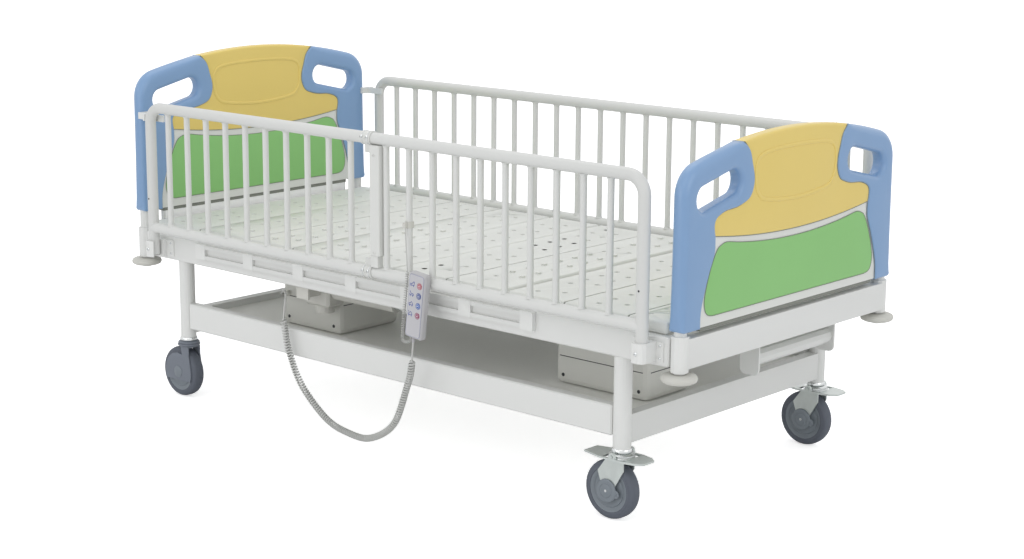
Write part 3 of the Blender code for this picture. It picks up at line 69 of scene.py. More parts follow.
def finish(name, colour, rough, metal=0.0, mottle=0.04, grain=700.0, bump=0.05, coat=0.0, broad=7.0):
    """Make a surface with broad colour drift, a painted highlight on convex edges, fine grain in gloss and
    relief.
    """
    made = bpy.data.materials.new(name)
    made.use_nodes = True
    made.diffuse_color = (*colour, 1.0)
    nodes, links = made.node_tree.nodes, made.node_tree.links
    shader = nodes["Principled BSDF"]
    shader.inputs["Metallic"].default_value = metal
    shader.inputs["Coat Weight"].default_value = coat
    shader.inputs["Coat Roughness"].default_value = 0.15
    spot = nodes.new("ShaderNodeTexCoord")
    source = spot.outputs["Object"]
    drift = nodes.new("ShaderNodeTexNoise")
    drift.inputs["Scale"].default_value = broad
    drift.inputs["Detail"].default_value = 5.0
    links.new(source, drift.inputs["Vector"])
    fine = nodes.new("ShaderNodeTexNoise")
    fine.inputs["Scale"].default_value = grain
    fine.inputs["Detail"].default_value = 3.0
    links.new(source, fine.inputs["Vector"])
    blend = nodes.new("ShaderNodeMix")
    blend.data_type = "RGBA"
    blend.inputs["A"].default_value = (*(c * (1 - mottle) for c in colour), 1.0)
    blend.inputs["B"].default_value = (*(min(1.0, c * (1 + mottle)) for c in colour), 1.0)
    links.new(drift.outputs["Fac"], blend.inputs["Factor"])
    # Painted highlight: convex edges, found by pointiness, are mixed towards a lighter colour
    edges = nodes.new("ShaderNodeNewGeometry")
    edge_highlight = nodes.new("ShaderNodeMapRange")
    edge_highlight.inputs["From Min"].default_value = 0.52
    edge_highlight.inputs["From Max"].default_value = 0.62
    edge_highlight.inputs["To Max"].default_value = 0.25
    links.new(edges.outputs["Pointiness"], edge_highlight.inputs["Value"])
    highlit = nodes.new("ShaderNodeMix")
    highlit.data_type = "RGBA"
    highlit.inputs["B"].default_value = (*(min(1.0, c * 1.25 + 0.03) for c in colour), 1.0)
    links.new(edge_highlight.outputs["Result"], highlit.inputs["Factor"])
    links.new(blend.outputs["Result"], highlit.inputs["A"])
    links.new(highlit.outputs["Result"], shader.inputs["Base Color"])
    gloss = nodes.new("ShaderNodeMapRange")
    gloss.inputs["To Min"].default_value = max(0.05, rough - 0.07)
    gloss.inputs["To Max"].default_value = min(1.0, rough + 0.07)
    links.new(fine.outputs["Fac"], gloss.inputs["Value"])
    links.new(gloss.outputs["Result"], shader.inputs["Roughness"])
    relief = nodes.new("ShaderNodeBump")
    relief.inputs["Strength"].default_value = bump
    relief.inputs["Distance"].default_value = 0.0006
    links.new(fine.outputs["Fac"], relief.inputs["Height"])
    links.new(relief.outputs["Normal"], shader.inputs["Normal"])
    return made


WHITE = finish("white_enamel", (0.715, 0.72, 0.70), 0.40, mottle=0.018, grain=420, bump=0.06, coat=0.08)
TUBE_WHITE = finish("tube_enamel", (0.655, 0.66, 0.64), 0.42, mottle=0.018, grain=420, bump=0.06, coat=0.06)
# Painted light: a brighter white for the mattress stop's face, standing in for light falling on it
STOP_LIT_WHITE = finish("stop_painted_light", (0.93, 0.93, 0.92), 0.45, mottle=0.015, grain=420, bump=0.05)
POST_WHITE = finish("post_white", (0.67, 0.675, 0.65), 0.45, mottle=0.02, grain=600, bump=0.05)
CREAM = finish("cream_plastic", (0.585, 0.58, 0.535), 0.50, mottle=0.03, grain=900, bump=0.08)
DECK = finish("deck_plastic", (0.71, 0.72, 0.685), 0.52, mottle=0.025, grain=1500, bump=0.22, broad=5)
BLUE = finish("blue_moulding", (0.205, 0.345, 0.565), 0.34, mottle=0.03, grain=1100, bump=0.05, coat=0.32)
YELLOW = finish("yellow_moulding", (0.765, 0.585, 0.158), 0.40, mottle=0.03, grain=1300, bump=0.08, coat=0.20)
GREEN = finish("green_moulding", (0.24, 0.535, 0.17), 0.42, mottle=0.035, grain=1300, bump=0.08, coat=0.16)
GROUND = finish("board_ground", (0.68, 0.69, 0.655), 0.46, mottle=0.025, grain=1300, bump=0.08)
TRAY = finish("tray_grey", (0.84, 0.84, 0.79), 0.50, mottle=0.05, grain=500, bump=0.10, broad=4)
BOX = finish("box_grey", (0.70, 0.70, 0.655), 0.50, mottle=0.03, grain=1500, bump=0.20)
ZINC = finish("zinc_plate", (0.60, 0.64, 0.62), 0.33, metal=0.75, mottle=0.09, grain=260, bump=0.10, broad=60)
BRIGHT = finish("bright_steel", (0.72, 0.74, 0.74), 0.20, metal=0.95, mottle=0.05, grain=500, bump=0.04,
                broad=80)
HOOD = finish("hood_plastic", (0.17, 0.19, 0.225), 0.48, mottle=0.04, grain=1400, bump=0.15)
TYRE = finish("tyre_rubber", (0.105, 0.118, 0.145), 0.66, mottle=0.07, grain=900, bump=0.25)
HUB = finish("hub_plastic", (0.195, 0.222, 0.248), 0.46, mottle=0.04, grain=1400, bump=0.15)
HAND = finish("handset_plastic", (0.48, 0.475, 0.485), 0.44, mottle=0.02, grain=1800, bump=0.10)
PLATE = finish("handset_face", (0.50, 0.495, 0.515), 0.38, mottle=0.015, grain=2200, bump=0.05)
LINE = finish("face_line", (0.33, 0.34, 0.44), 0.45, mottle=0.05, grain=1500, bump=0.05)
MAGENTA = finish("magenta_key", (0.30, 0.045, 0.115), 0.40, mottle=0.05, grain=1500, bump=0.06)
RED = finish("red_key", (0.43, 0.06, 0.085), 0.40, mottle=0.05, grain=1500, bump=0.06)
NAVY = finish("navy_key", (0.035, 0.07, 0.27), 0.40, mottle=0.05, grain=1500, bump=0.06)
KEY_BLUE = finish("blue_key", (0.07, 0.145, 0.42), 0.40, mottle=0.05, grain=1500, bump=0.06)
SIGN = finish("sign_blue", (0.06, 0.09, 0.30), 0.50, mottle=0.05, grain=1500, bump=0.04)
PALE_MARK = finish("key_mark", (0.80, 0.80, 0.84), 0.45, mottle=0.03, grain=1500, bump=0.04)
SHEATH = finish("cord_sheath", (0.52, 0.525, 0.505), 0.50, mottle=0.04, grain=1500, bump=0.12)
VENT = finish("vent_shade", (0.19, 0.20, 0.185), 0.70, mottle=0.10, grain=900, bump=0.10)
SEAM_SHADE = finish("seam_shade", (0.22, 0.23, 0.20), 0.60, mottle=0.08, grain=900, bump=0.08)
DARK = finish("shadow_plastic", (0.045, 0.047, 0.05), 0.60, mottle=0.10, grain=900, bump=0.10)


# Mesh helpers

def put(name, shape, surface, body, replaces=(), smooth=50):
    """Turn a finished mesh into a piece that rides on a body."""
    bmesh.ops.recalc_face_normals(shape, faces=shape.faces)
    mesh = bpy.data.meshes.new(name)
    shape.to_mesh(mesh)
    shape.free()
    mesh.materials.append(surface)
    mesh.shade_smooth()
    mesh.set_sharp_from_angle(angle=radians(smooth))
    made = bpy.data.objects.new(name, mesh)
    bpy.context.collection.objects.link(made)
    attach(made, body)
    if replaces:
        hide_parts(*replaces)
    return made


def gather(shapes):
    """Hold several shapes in one mesh."""
    whole = bmesh.new()
    for shape in shapes:
        mesh = bpy.data.meshes.new("part")
        shape.to_mesh(mesh)
        shape.free()
        whole.from_mesh(mesh)
        bpy.data.meshes.remove(mesh)
    return whole


def place(axis, u, v, w):
    """Turn outline coordinates and a depth into a point."""
    if axis == "x":
        return Vector((w, u, v))
    if axis == "y":
        return Vector((u, w, v))
    return Vector((u, v, w))


def box(low, high, edge=0.0, steps=2):
    """Make a block with rounded edges."""
    shape = bmesh.new()
    bmesh.ops.create_cube(shape, size=1.0)
    size = Vector(high) - Vector(low)
    bmesh.ops.scale(shape, verts=shape.verts, vec=size)
    bmesh.ops.translate(shape, verts=shape.verts, vec=(Vector(high) + Vector(low)) / 2)
    if edge > 0:
        bmesh.ops.bevel(shape, geom=shape.edges[:], offset=edge, segments=steps, profile=0.5,
                        affect="EDGES", clamp_overlap=True)
    return shape


def sweep(points, radius, sides, flat=(0, 1, 0), closed=False, squash=1.0):
    """Run a tube along points; the section keeps to a plane's normal and may be flattened along it."""
    shape = bmesh.new()
    spots = [Vector(p) for p in points]
    normal = Vector(flat).normalized()
    count = len(spots)
    rings = []
    for i, spot in enumerate(spots):
        before = spots[i - 1] if (closed or i > 0) else spot
        after = spots[(i + 1) % count] if (closed or i < count - 1) else spot
        ahead = (after - before).normalized()
        across = ahead.cross(normal).normalized()
        side = across.cross(ahead).normalized()
        ring = []
        for k in range(sides):
            angle = 2 * pi * k / sides
            ring.append(shape.verts.new(spot + radius * (squash * cos(angle) * side + sin(angle) * across)))
        rings.append(ring)
    pairs = list(zip(rings, rings[1:])) + ([(rings[-1], rings[0])] if closed else [])
    for lower, upper in pairs:
        for i in range(sides):
            shape.faces.new((lower[i], lower[(i + 1) % sides], upper[(i + 1) % sides], upper[i]))
    if not closed:
        shape.faces.new(rings[0])
        shape.faces.new(rings[-1])
    return shape


def lathe(profile, centre, axis, steps):
    """Turn a closed profile of radius and depth about an axis."""
    shape = bmesh.new()
    rings = []
    for radius, depth in profile:
        if radius <= 0:
            rings.append([shape.verts.new(Vector(centre) + place(axis, 0, 0, depth))])
            continue
        ring = []
        for k in range(steps):
            angle = 2 * pi * k / steps
            spot = place(axis, radius * cos(angle), radius * sin(angle), depth)
            ring.append(shape.verts.new(Vector(centre) + spot))
        rings.append(ring)
    closed = profile[0][0] > 0 and profile[-1][0] > 0
    pairs = list(zip(rings, rings[1:])) + ([(rings[-1], rings[0])] if closed else [])
    for lower, upper in pairs:
        for i in range(steps):
            j = (i + 1) % steps
            if len(lower) == 1:
                shape.faces.new((lower[0], upper[i], upper[j]))
            elif len(upper) == 1:
                shape.faces.new((lower[i], lower[j], upper[0]))
            else:
                shape.faces.new((lower[i], lower[j], upper[j], upper[i]))
    return shape


def arc(u, v, radius, start, end, count):
    """List points along an arc, angles in degrees."""
    spots = []
    for k in range(count + 1):
        angle = radians(start + (end - start) * k / count)
        spots.append((u + radius * cos(angle), v + radius * sin(angle)))
    return spots


def facing(profile, face):
    """Point a profile of radius and depth to one side."""
    return [(a, face * b) for a, b in profile]


def two_sided(profile):
    """Join a profile of radius and depth with its mirror image."""
    return profile + [(a, -b) for a, b in reversed(profile)]


def screw(spot, way, radius, depth=0.002):
    """Make a low domed screw head with a round dimple, standing on a face."""
    axis = "x" if abs(way[0]) > 0.5 else "y" if abs(way[1]) > 0.5 else "z"
    turn = way["xyz".index(axis)]
    low = -0.0006
    profile = [(0, low), (radius, low), (radius, depth * 0.45), (radius * 0.8, depth * 0.85)]
    profile += [(radius * 0.42, depth), (radius * 0.36, depth * 0.45), (0, depth * 0.45)]
    return lathe(facing(profile, turn), spot, axis, 18)


def boolean(whole, cutter):
    """Cut one closed shape out of another."""
    pair = []
    for shape in (whole, cutter):
        bmesh.ops.recalc_face_normals(shape, faces=shape.faces)
        mesh = bpy.data.meshes.new("work")
        shape.to_mesh(mesh)
        shape.free()
        piece = bpy.data.objects.new("work", mesh)
        bpy.context.collection.objects.link(piece)
        pair.append(piece)
    cut = pair[0].modifiers.new("cut", "BOOLEAN")
    cut.operation = "DIFFERENCE"
    cut.object = pair[1]
    cut.solver = "EXACT"
    graph = bpy.context.evaluated_depsgraph_get()
    result = bmesh.new()
    result.from_mesh(pair[0].evaluated_get(graph).to_mesh())
    for piece in pair:
        mesh = piece.data
        bpy.data.objects.remove(piece, do_unlink=True)
        bpy.data.meshes.remove(mesh)
    return result


# Cords: the routes of their solids, apart from the coil's last bend, with more curls

def on_curve(a, b, c, d, t):
    """Read a point between b and c on a smooth curve through four points."""
    part = 2 * b + (c - a) * t + (2 * a - 5 * b + 4 * c - d) * t * t
    return (part + (3 * b - a - 3 * c + d) * t ** 3) / 2


DENSE = 40


def smooth(spots, count):
    """Read evenly spaced points from a smooth curve through the given spots."""
    knots = [Vector(s) for s in spots]
    knots = [2 * knots[0] - knots[1]] + knots + [2 * knots[-1] - knots[-2]]
    dense = []
    for i in range(1, len(knots) - 2):
        a, b, c, d = knots[i - 1: i + 3]
        for k in range(DENSE):
            dense.append(on_curve(a, b, c, d, k / DENSE))
    dense.append(knots[-2])
    lengths = [0.0]
    for a, b in zip(dense, dense[1:]):
        lengths.append(lengths[-1] + (b - a).length)
    result, j = [], 0
    for k in range(count + 1):
        want = lengths[-1] * k / count
        while j < len(lengths) - 2 and lengths[j + 1] < want:
            j += 1
        share = (want - lengths[j]) / max(1e-12, lengths[j + 1] - lengths[j])
        result.append(dense[j].lerp(dense[j + 1], min(1.0, max(0.0, share))))
    return result


CURL_POINTS = 12


def curled(spots, curls, radius):
    """Wind curls about a smooth centre line; the first and last curl grow from it."""
    count = curls * CURL_POINTS
    line = smooth(spots, count)
    normal = Vector((0, 1, 0))
    result = []
    for i, spot in enumerate(line):
        ahead = (line[min(i + 1, count)] - line[max(i - 1, 0)]).normalized()
        normal = (normal - ahead * normal.dot(ahead)).normalized()
        across = ahead.cross(normal)
        grow = min(1.0, i / CURL_POINTS, (count - i) / CURL_POINTS)
        angle = 2 * pi * i / CURL_POINTS
        result.append(spot + radius * grow * (cos(angle) * normal + sin(angle) * across))
    return result


def cord(name, points, diameter, node, body, rounds=3):
    curve = bpy.data.curves.new(name, "CURVE")
    curve.dimensions = "3D"
    curve.bevel_depth = diameter / 2
    curve.bevel_resolution = rounds
    curve.use_fill_caps = True
    spline = curve.splines.new("POLY")
    spline.points.add(len(points) - 1)
    for spot, where in zip(spline.points, points):
        spot.co = (*where, 1.0)
    spline.use_smooth = True
    curve.materials.append(SHEATH)
    made = bpy.data.objects.new(name, curve)
    bpy.context.collection.objects.link(made)
    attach(made, body)
    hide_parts(node)
    return made


SEAT = 0.0003
GUARD_Y = 0.4045
TUBE_R, BAR_R = 0.013, 0.007
HAND_X, HAND_W, HAND_T, HAND_H, HAND_TOP, HAND_LEAN = 0.189, 0.050, 0.020, 0.146, 0.4535, 6.5
HAND_BACK = -(GUARD_Y + TUBE_R + SEAT)
HAND_FRONT = HAND_BACK - HAND_T
HAND_MID = (HAND_BACK + HAND_FRONT) / 2
HAND_LOW = HAND_TOP - HAND_H
pivot = Vector((HAND_X, 0, 0.441))


def leaned(spot):
    """Turn a point with the handset, which leans about its hook."""
    return Matrix.Rotation(radians(HAND_LEAN), 3, "Y") @ (Vector(spot) - pivot) + pivot


def lean(shape):
    """Turn a whole shape with the handset."""
    for vert in shape.verts:
        vert.co = leaned(vert.co)
    return shape


CORD_D, COIL_D, COIL_CURLS = 0.0044, 0.0165, 108
RELIEF_X = HAND_X - 0.005
RELIEF_L = 0.012
gland_end = Vector((-0.435, -0.257, 0.2853))
out_of_box = Vector((0, -1, 0))
relief_end = leaned((RELIEF_X, HAND_MID, HAND_LOW - RELIEF_L))
down = (relief_end - leaned((RELIEF_X, HAND_MID, HAND_LOW))).normalized()
lead_start = gland_end + out_of_box * SEAT
coil_start = Vector((-0.2960, -0.3870, 0.275))
lead_route = [lead_start + out_of_box * CORD_D * 2, (-0.404, -0.298, 0.297), (-0.350, -0.336, 0.318)]
lead_route += [(-0.308, -0.370, 0.316), coil_start]
lead_points = [lead_start] + smooth(lead_route, 40)
lead_way = (lead_points[-1] - lead_points[-2]).normalized()
cord("lead_cable", lead_points, CORD_D, "cord_lead", "frame")
coil_end = relief_end + down * SEAT
coil_last = coil_end + down * 0.040
coil_route = [coil_start + lead_way * (SEAT + CORD_D * 1.2), (-0.293, -0.386, 0.238)]
coil_route += [(-0.279, -0.386, 0.187), (-0.238, -0.386, 0.117), (-0.154, -0.390, 0.056)]
coil_route += [(-0.080, -0.394, 0.038), (0.002, -0.400, 0.042), (0.088, -0.410, 0.094)]
coil_route += [(0.138, -0.418, 0.190), (0.156, -0.424, 0.228), tuple(coil_last)]
coil_points = curled(coil_route, COIL_CURLS, (COIL_D - CORD_D) / 2)
coil_points = [coil_start + lead_way * SEAT] + coil_points + [coil_end + down * CORD_D, coil_end]
cord("coil_cable", coil_points, CORD_D, "cord_coil", "frame", rounds=2)

LANYARD_D, LANYARD_COIL, LANYARD_CURLS = 0.0024, 0.0085, 34
side = HAND_X - HAND_W / 2 - LANYARD_COIL / 2 - 0.010
clip_x = 0.0655 + 0.6225 / 9
bar_face = -GUARD_Y - BAR_R
knot = Vector((clip_x, bar_face - 0.006, 0.542 - SEAT))
curl_top = leaned((side, HAND_MID, HAND_TOP - 0.004))
curl_low = leaned((side, HAND_MID, HAND_LOW + 0.006))
turn_low = leaned((side + 0.007, HAND_MID, HAND_LOW - 0.016))
under = leaned((HAND_X - 0.014, HAND_MID, HAND_LOW - 0.012))
loop_end = leaned((HAND_X - 0.014, HAND_MID, HAND_LOW)) + down * SEAT
strand = smooth([knot, knot - Vector((0, 0, 0.006)), (knot + curl_top) / 2, curl_top], 24)
curls = curled([curl_top, curl_low, turn_low, under], LANYARD_CURLS, (LANYARD_COIL - LANYARD_D) / 2)
cord("lanyard_cable", strand[:-1] + curls + [loop_end + down * 0.004, loop_end], LANYARD_D, "lanyard",
     "near_guard", rounds=2)


# Carried-over solids get their finishes

CARRIED = {WHITE: ["end_frame_head", "end_frame_foot", "side_rail_near", "side_rail_far", "base_end_head",
                   "base_end_foot", "base_rail_near", "base_rail_far", "seat_beams", "accessory_rail",
                   "guard_clip_near", "guard_clip_far"],
           POST_WHITE: ["guard_near_post"], TRAY: ["base_tray"],
           BOX: ["back_drive", "power_box", "control_box"], CREAM: ["thigh_drive", "lanyard_clip"],
           ZINC: ["back_rod", "thigh_rod", "brake_pedal_near", "brake_pedal_far", "caster_fork_foot_near",
                  "caster_fork_foot_far"],
           HOOD: ["caster_fork_head_near", "caster_fork_head_far"]}
for surface, names in CARRIED.items():
    for name in names:
        for hold in NODES[name].material_slots:
            hold.material = surface


# Guards: round tubes bent over at the ends, bars with weld collars

FAR_X = 0.784
GUARD_X, HEAD_X, GUARD_TOP, GUARD_LOW, GUARD_FOOT, BEND = 0.771, 0.749, 0.724, 0.428, 0.358, 0.040


def end_tube(way, reach, stop, y):
    """List the points of an end tube that bends over into the top rail."""
    x = way * reach
    spots = [(x, y, GUARD_FOOT + 0.002), (x, y, GUARD_FOOT + 0.03)]
    for u, v in arc(0, GUARD_TOP - BEND, BEND, 0, 90, 14):
        spots.append((x - way * (BEND - u), y, v))
    return spots + [(stop, y, GUARD_TOP)]


def guard_bars(places, y):
    """Make upright bars with a collar of weld at each end."""
    shapes = []
    for x in places:
        shapes.append(sweep([(x, y, GUARD_LOW), (x, y, GUARD_TOP)], BAR_R, 16))
        for z, turn in ((GUARD_LOW + TUBE_R - 0.002, 1), (GUARD_TOP - TUBE_R + 0.002, -1)):
            flare = [(BAR_R + 0.0022, 0), (BAR_R + 0.0012, turn * 0.0025), (BAR_R + 0.0002, turn * 0.0045)]
            shapes.append(lathe([(0, 0)] + flare + [(0, turn * 0.0045)], (x, y, z), "z", 16))
    return shapes


def tube_cap(x, y):
    """Close an end tube's foot with a rounded plug."""
    profile = [(0, 0.004), (TUBE_R, 0.004), (TUBE_R, 0.0015), (TUBE_R - 0.0015, 0.0), (0, 0.0)]
    return lathe(profile, (x, y, GUARD_FOOT), "z", 28)


def spread(first, last, count):
    """List evenly spaced places."""
    return [first + (last - first) * k / (count - 1) for k in range(count)]


near_y = -GUARD_Y
CLAMP_X, CLAMP_HALF = 0.0125, 0.015
clamp_low, clamp_high = CLAMP_X - CLAMP_HALF - SEAT, CLAMP_X + CLAMP_HALF + SEAT
head_half = (-1, HEAD_X, clamp_low, spread(-0.681, -0.0455, 10), "guard_near_head")
foot_half = (1, GUARD_X, clamp_high, spread(0.0655, 0.688, 10), "guard_near_foot")
for way, reach, stop, places, node in (head_half, foot_half):
    lower = [(way * reach, near_y, GUARD_LOW), (stop, near_y, GUARD_LOW)]
    shapes = [sweep(end_tube(way, reach, stop, near_y), TUBE_R, 28), sweep(lower, TUBE_R - 0.0002, 28)]
    shapes += guard_bars(places, near_y) + [tube_cap(way * reach, near_y)]
    put(node + "_tubes", gather(shapes), TUBE_WHITE, "near_guard", (node,), 40)

far_top = end_tube(-1, FAR_X, 0.0, GUARD_Y)[:-1] + end_tube(1, GUARD_X, 0.0, GUARD_Y)[:-1][::-1]
lower = [(-FAR_X, GUARD_Y, GUARD_LOW), (GUARD_X, GUARD_Y, GUARD_LOW)]
shapes = [sweep(far_top, TUBE_R, 28), sweep(lower, TUBE_R - 0.0002, 28)]
shapes += guard_bars(spread(-0.715, 0.715, 21), GUARD_Y)
shapes += [tube_cap(-FAR_X, GUARD_Y), tube_cap(GUARD_X, GUARD_Y)]
put("guard_far_tubes", gather(shapes), TUBE_WHITE, "far_guard", ("guard_far",), 40)

dots = [screw((x, near_y - TUBE_R + 0.0002, 0.500), (0, -1, 0), 0.0023, 0.0008) for x in (-HEAD_X, GUARD_X)]
put("guard_rivets", gather(dots), DARK, "near_guard", ())
low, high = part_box("guard_near_post")
shapes = []
for z in (GUARD_LOW, GUARD_TOP):
    shapes.append(screw((CLAMP_X, near_y - 0.0153, z), (0, -1, 0), 0.0035))
    for x in (CLAMP_X - 0.0125, CLAMP_X + 0.0125):
        shapes.append(sweep([(x - 0.0016, near_y, z), (x + 0.0016, near_y, z)], 0.0157, 28))
for z in (0.475, 0.690):
    shapes.append(screw((0.041, low.y, z), (0, -1, 0), 0.0028))
put("post_fixings", gather(shapes), POST_WHITE, "near_guard", ())
shapes = []
for z in (GUARD_LOW, GUARD_TOP):
    for x in (CLAMP_X - 0.0085, CLAMP_X + 0.0085):
        shapes.append(sweep([(x - 0.0013, near_y, z), (x + 0.0013, near_y, z)], 0.0161, 32))
        shapes.append(screw((x, near_y - 0.0156, z + 0.004), (0, -1, 0), 0.0034, 0.0030))
put("post_clamp_bolts", gather(shapes), BRIGHT, "near_guard", ())
shapes = [sweep([(x, near_y, z), (x + way * 0.0012, near_y, z)], 0.0124, 24)
          for z in (GUARD_LOW, GUARD_TOP) for x, way in ((clamp_low + 0.0001, 1), (clamp_high - 0.0001, -1))]
put("post_joint_shadow", gather(shapes), DARK, "near_guard", ())


# Boards: rounded mouldings on the same outlines as their solids

BOARD_HALF, BOARD_H = 0.382, 0.370
LEG_INNER, LEG_WAIST, SEAM_UP, SEAM_RISE = 0.322, 0.279, 0.159, 0.020
SHOULDER_R, ARCH_DROP, ARCH_SPAN = 0.066, 0.031, 0.290
LOWER_MARGIN, LOWER_TOP = 0.020, 0.144
HOLE_Y, HOLE_UP, HOLE_HALF, HOLE_R, HOLE_SLANT, ARM_BAND = 0.267, 0.268, 0.073, 0.025, 13.0, 0.042
HEAD_RISE = 0.018
POST_X = 0.834


def arch(y):
    """Height of a board's top line at a distance from its middle."""
    return BOARD_H - ARCH_DROP * (y / ARCH_SPAN) ** 2


def seam(y):
    """Height of the line under the upper panel."""
    return SEAM_UP + SEAM_RISE * (y / LEG_WAIST) ** 2


def flow(points, per, closed=False):
    """Run a smooth line through points."""
    pts = [Vector(p) for p in points]
    count = len(pts)
    result = []
    last = count if closed else count - 1
    for i in range(last):
        if closed:
            a, b, c, d = pts[i - 1], pts[i], pts[(i + 1) % count], pts[(i + 2) % count]
        else:
            b, c = pts[i], pts[i + 1]
            a = pts[i - 1] if i > 0 else 2 * b - c
            d = pts[i + 2] if i + 2 < count else 2 * c - b
        for k in range(per):
            result.append(tuple(on_curve(a, b, c, d, k / per)))
    if not closed:
        result.append(tuple(pts[-1]))
    return result


def waist_line():
    """List the side frame's inner line from the seam down to the foot, for the right half."""
    spots = []
    for fall, out in ((0, 0), (0.16, 0), (0.27, 0.17), (0.39, 0.40), (0.61, 0.74), (0.81, 0.97), (1, 1)):
        spots.append((LEG_WAIST + (LEG_INNER - LEG_WAIST) * out, seam(LEG_WAIST) * (1 - fall)))
    return flow(spots, 4)


def arm_line():
    """List the side frame's inner line from the arch down to the seam, for the right half."""
    hook_y, hook_z = HOLE_Y - HOLE_HALF - ARM_BAND, HOLE_UP + 0.010
    top_y = hook_y + 0.036
    spots = [(top_y, arch(top_y)), (hook_y + 0.017, arch(top_y) - 0.020), (hook_y + 0.008, hook_z + 0.033)]
    spots += [(hook_y + 0.002, hook_z + 0.014), (hook_y, hook_z), (hook_y + 0.0015, hook_z - 0.013)]
    spots += [(hook_y + 0.0065, hook_z - 0.026), (hook_y + 0.015, hook_z - 0.036)]
    spots += [(hook_y + 0.028, hook_z - 0.042), (hook_y + 0.0555, hook_z - 0.049)]
    tip = LEG_WAIST + 0.0035
    low_z = seam(LEG_WAIST)
    spots += [(tip - 0.038, low_z + 0.047), (tip - 0.0145, low_z + 0.040), (tip - 0.004, low_z + 0.033)]
    spots += [(tip, low_z + 0.024), (tip - 0.001, low_z + 0.010), (LEG_WAIST, low_z)]
    return flow(spots, 4)


def shoulder_line():
    """List the side frame's outer line from the arch to the foot, for the right half."""
    slope = degrees(atan2(2 * ARCH_DROP * (BOARD_HALF - SHOULDER_R * 0.8), ARCH_SPAN ** 2))
    start = 90 - slope
    y0 = BOARD_HALF - SHOULDER_R + SHOULDER_R * cos(radians(start))
    centre = arch(y0) - SHOULDER_R * sin(radians(start))
    top_y = HOLE_Y - HOLE_HALF - ARM_BAND + 0.036
    rise = [(top_y + (y0 - top_y) * k / 8, arch(top_y + (y0 - top_y) * k / 8)) for k in range(1, 8)]
    spots = rise + arc(BOARD_HALF - SHOULDER_R, centre, SHOULDER_R, start, 0, 18)
    spots += [(BOARD_HALF, 0.18), (BOARD_HALF, 0.10), (BOARD_HALF, 0.03)]
    return spots + arc(BOARD_HALF - 0.010, 0.010, 0.010, 0, -90, 4)


def hole_line():
    """List the outline of a hand-hole, for the right half."""
    slant = radians(-HOLE_SLANT)
    run = HOLE_HALF - HOLE_R
    spots = arc(run, 0, HOLE_R, -90, 90, 14) + arc(-run, 0, HOLE_R, 90, 270, 14)
    turned = []
    for u, v in spots:
        turned.append((HOLE_Y + u * cos(slant) - v * sin(slant), HOLE_UP + u * sin(slant) + v * cos(slant)))
    return turned


def lower_line():
    """List the right half of the lower panel's outline, from the top middle to the bottom middle."""
    edge = LEG_WAIST - 0.042
    top = [(edge * k / 6, LOWER_TOP + (seam(edge * k / 6) - SEAM_UP) * 1.3) for k in range(7)]
    knee = LEG_WAIST - 0.020
    turn = [(knee, LOWER_TOP + 0.0135), (knee + 0.010, LOWER_TOP + 0.0065)]
    turn += [(LEG_WAIST + 0.004, LOWER_TOP - 0.016), (LEG_INNER - 0.0235, LOWER_MARGIN + 0.071)]
    turn += [(LEG_INNER - 0.0145, LOWER_MARGIN + 0.034), (LEG_INNER - 0.019, LOWER_MARGIN + 0.012)]
    turn += [(LEG_INNER - 0.029, LOWER_MARGIN + 0.003), (LEG_INNER - 0.045, LOWER_MARGIN)]
    return flow(top + turn, 4) + [(0.0, LOWER_MARGIN)]


def whole_line(half):
    """Close a right half with its mirror; the half starts and ends on the middle line."""
    return half + [(-y, z) for y, z in reversed(half) if abs(y) > 1e-9]


def tidy(outline, least=0.0012):
    """Leave out points that crowd the one before them."""
    kept = []
    for spot in outline:
        if not kept or hypot(spot[0] - kept[-1][0], spot[1] - kept[-1][1]) > least:
            kept.append(spot)
    if hypot(kept[0][0] - kept[-1][0], kept[0][1] - kept[-1][1]) <= least:
        kept.pop()
    return kept


def evened(values, times):
    """Even out a ring of values with their neighbours."""
    for _ in range(times):
        values = [(values[i - 1] + 2 * values[i] + values[(i + 1) % len(values)]) / 4
                  for i in range(len(values))]
    return values


def inward(outline, distances):
    """Move each point of a closed outline inward by its own distance."""
    count = len(outline)
    area = sum(outline[i][0] * outline[(i + 1) % count][1] - outline[(i + 1) % count][0] * outline[i][1]
               for i in range(count))
    turn = 1.0 if area > 0 else -1.0
    moved = []
    for i in range(count):
        a, b, c = Vector(outline[i - 1]), Vector(outline[i]), Vector(outline[(i + 1) % count])
        one, two = (b - a).normalized(), (c - b).normalized()
        normal = (Vector((-one.y - two.y, one.x + two.x)) * turn)
        if normal.length < 1e-9:
            normal = Vector((-two.y, two.x)) * turn
        normal.normalize()
        bend = max(0.6, normal.dot(Vector((-two.y, two.x)) * turn))
        moved.append(tuple(b + normal * distances[i] / bend))
    return moved


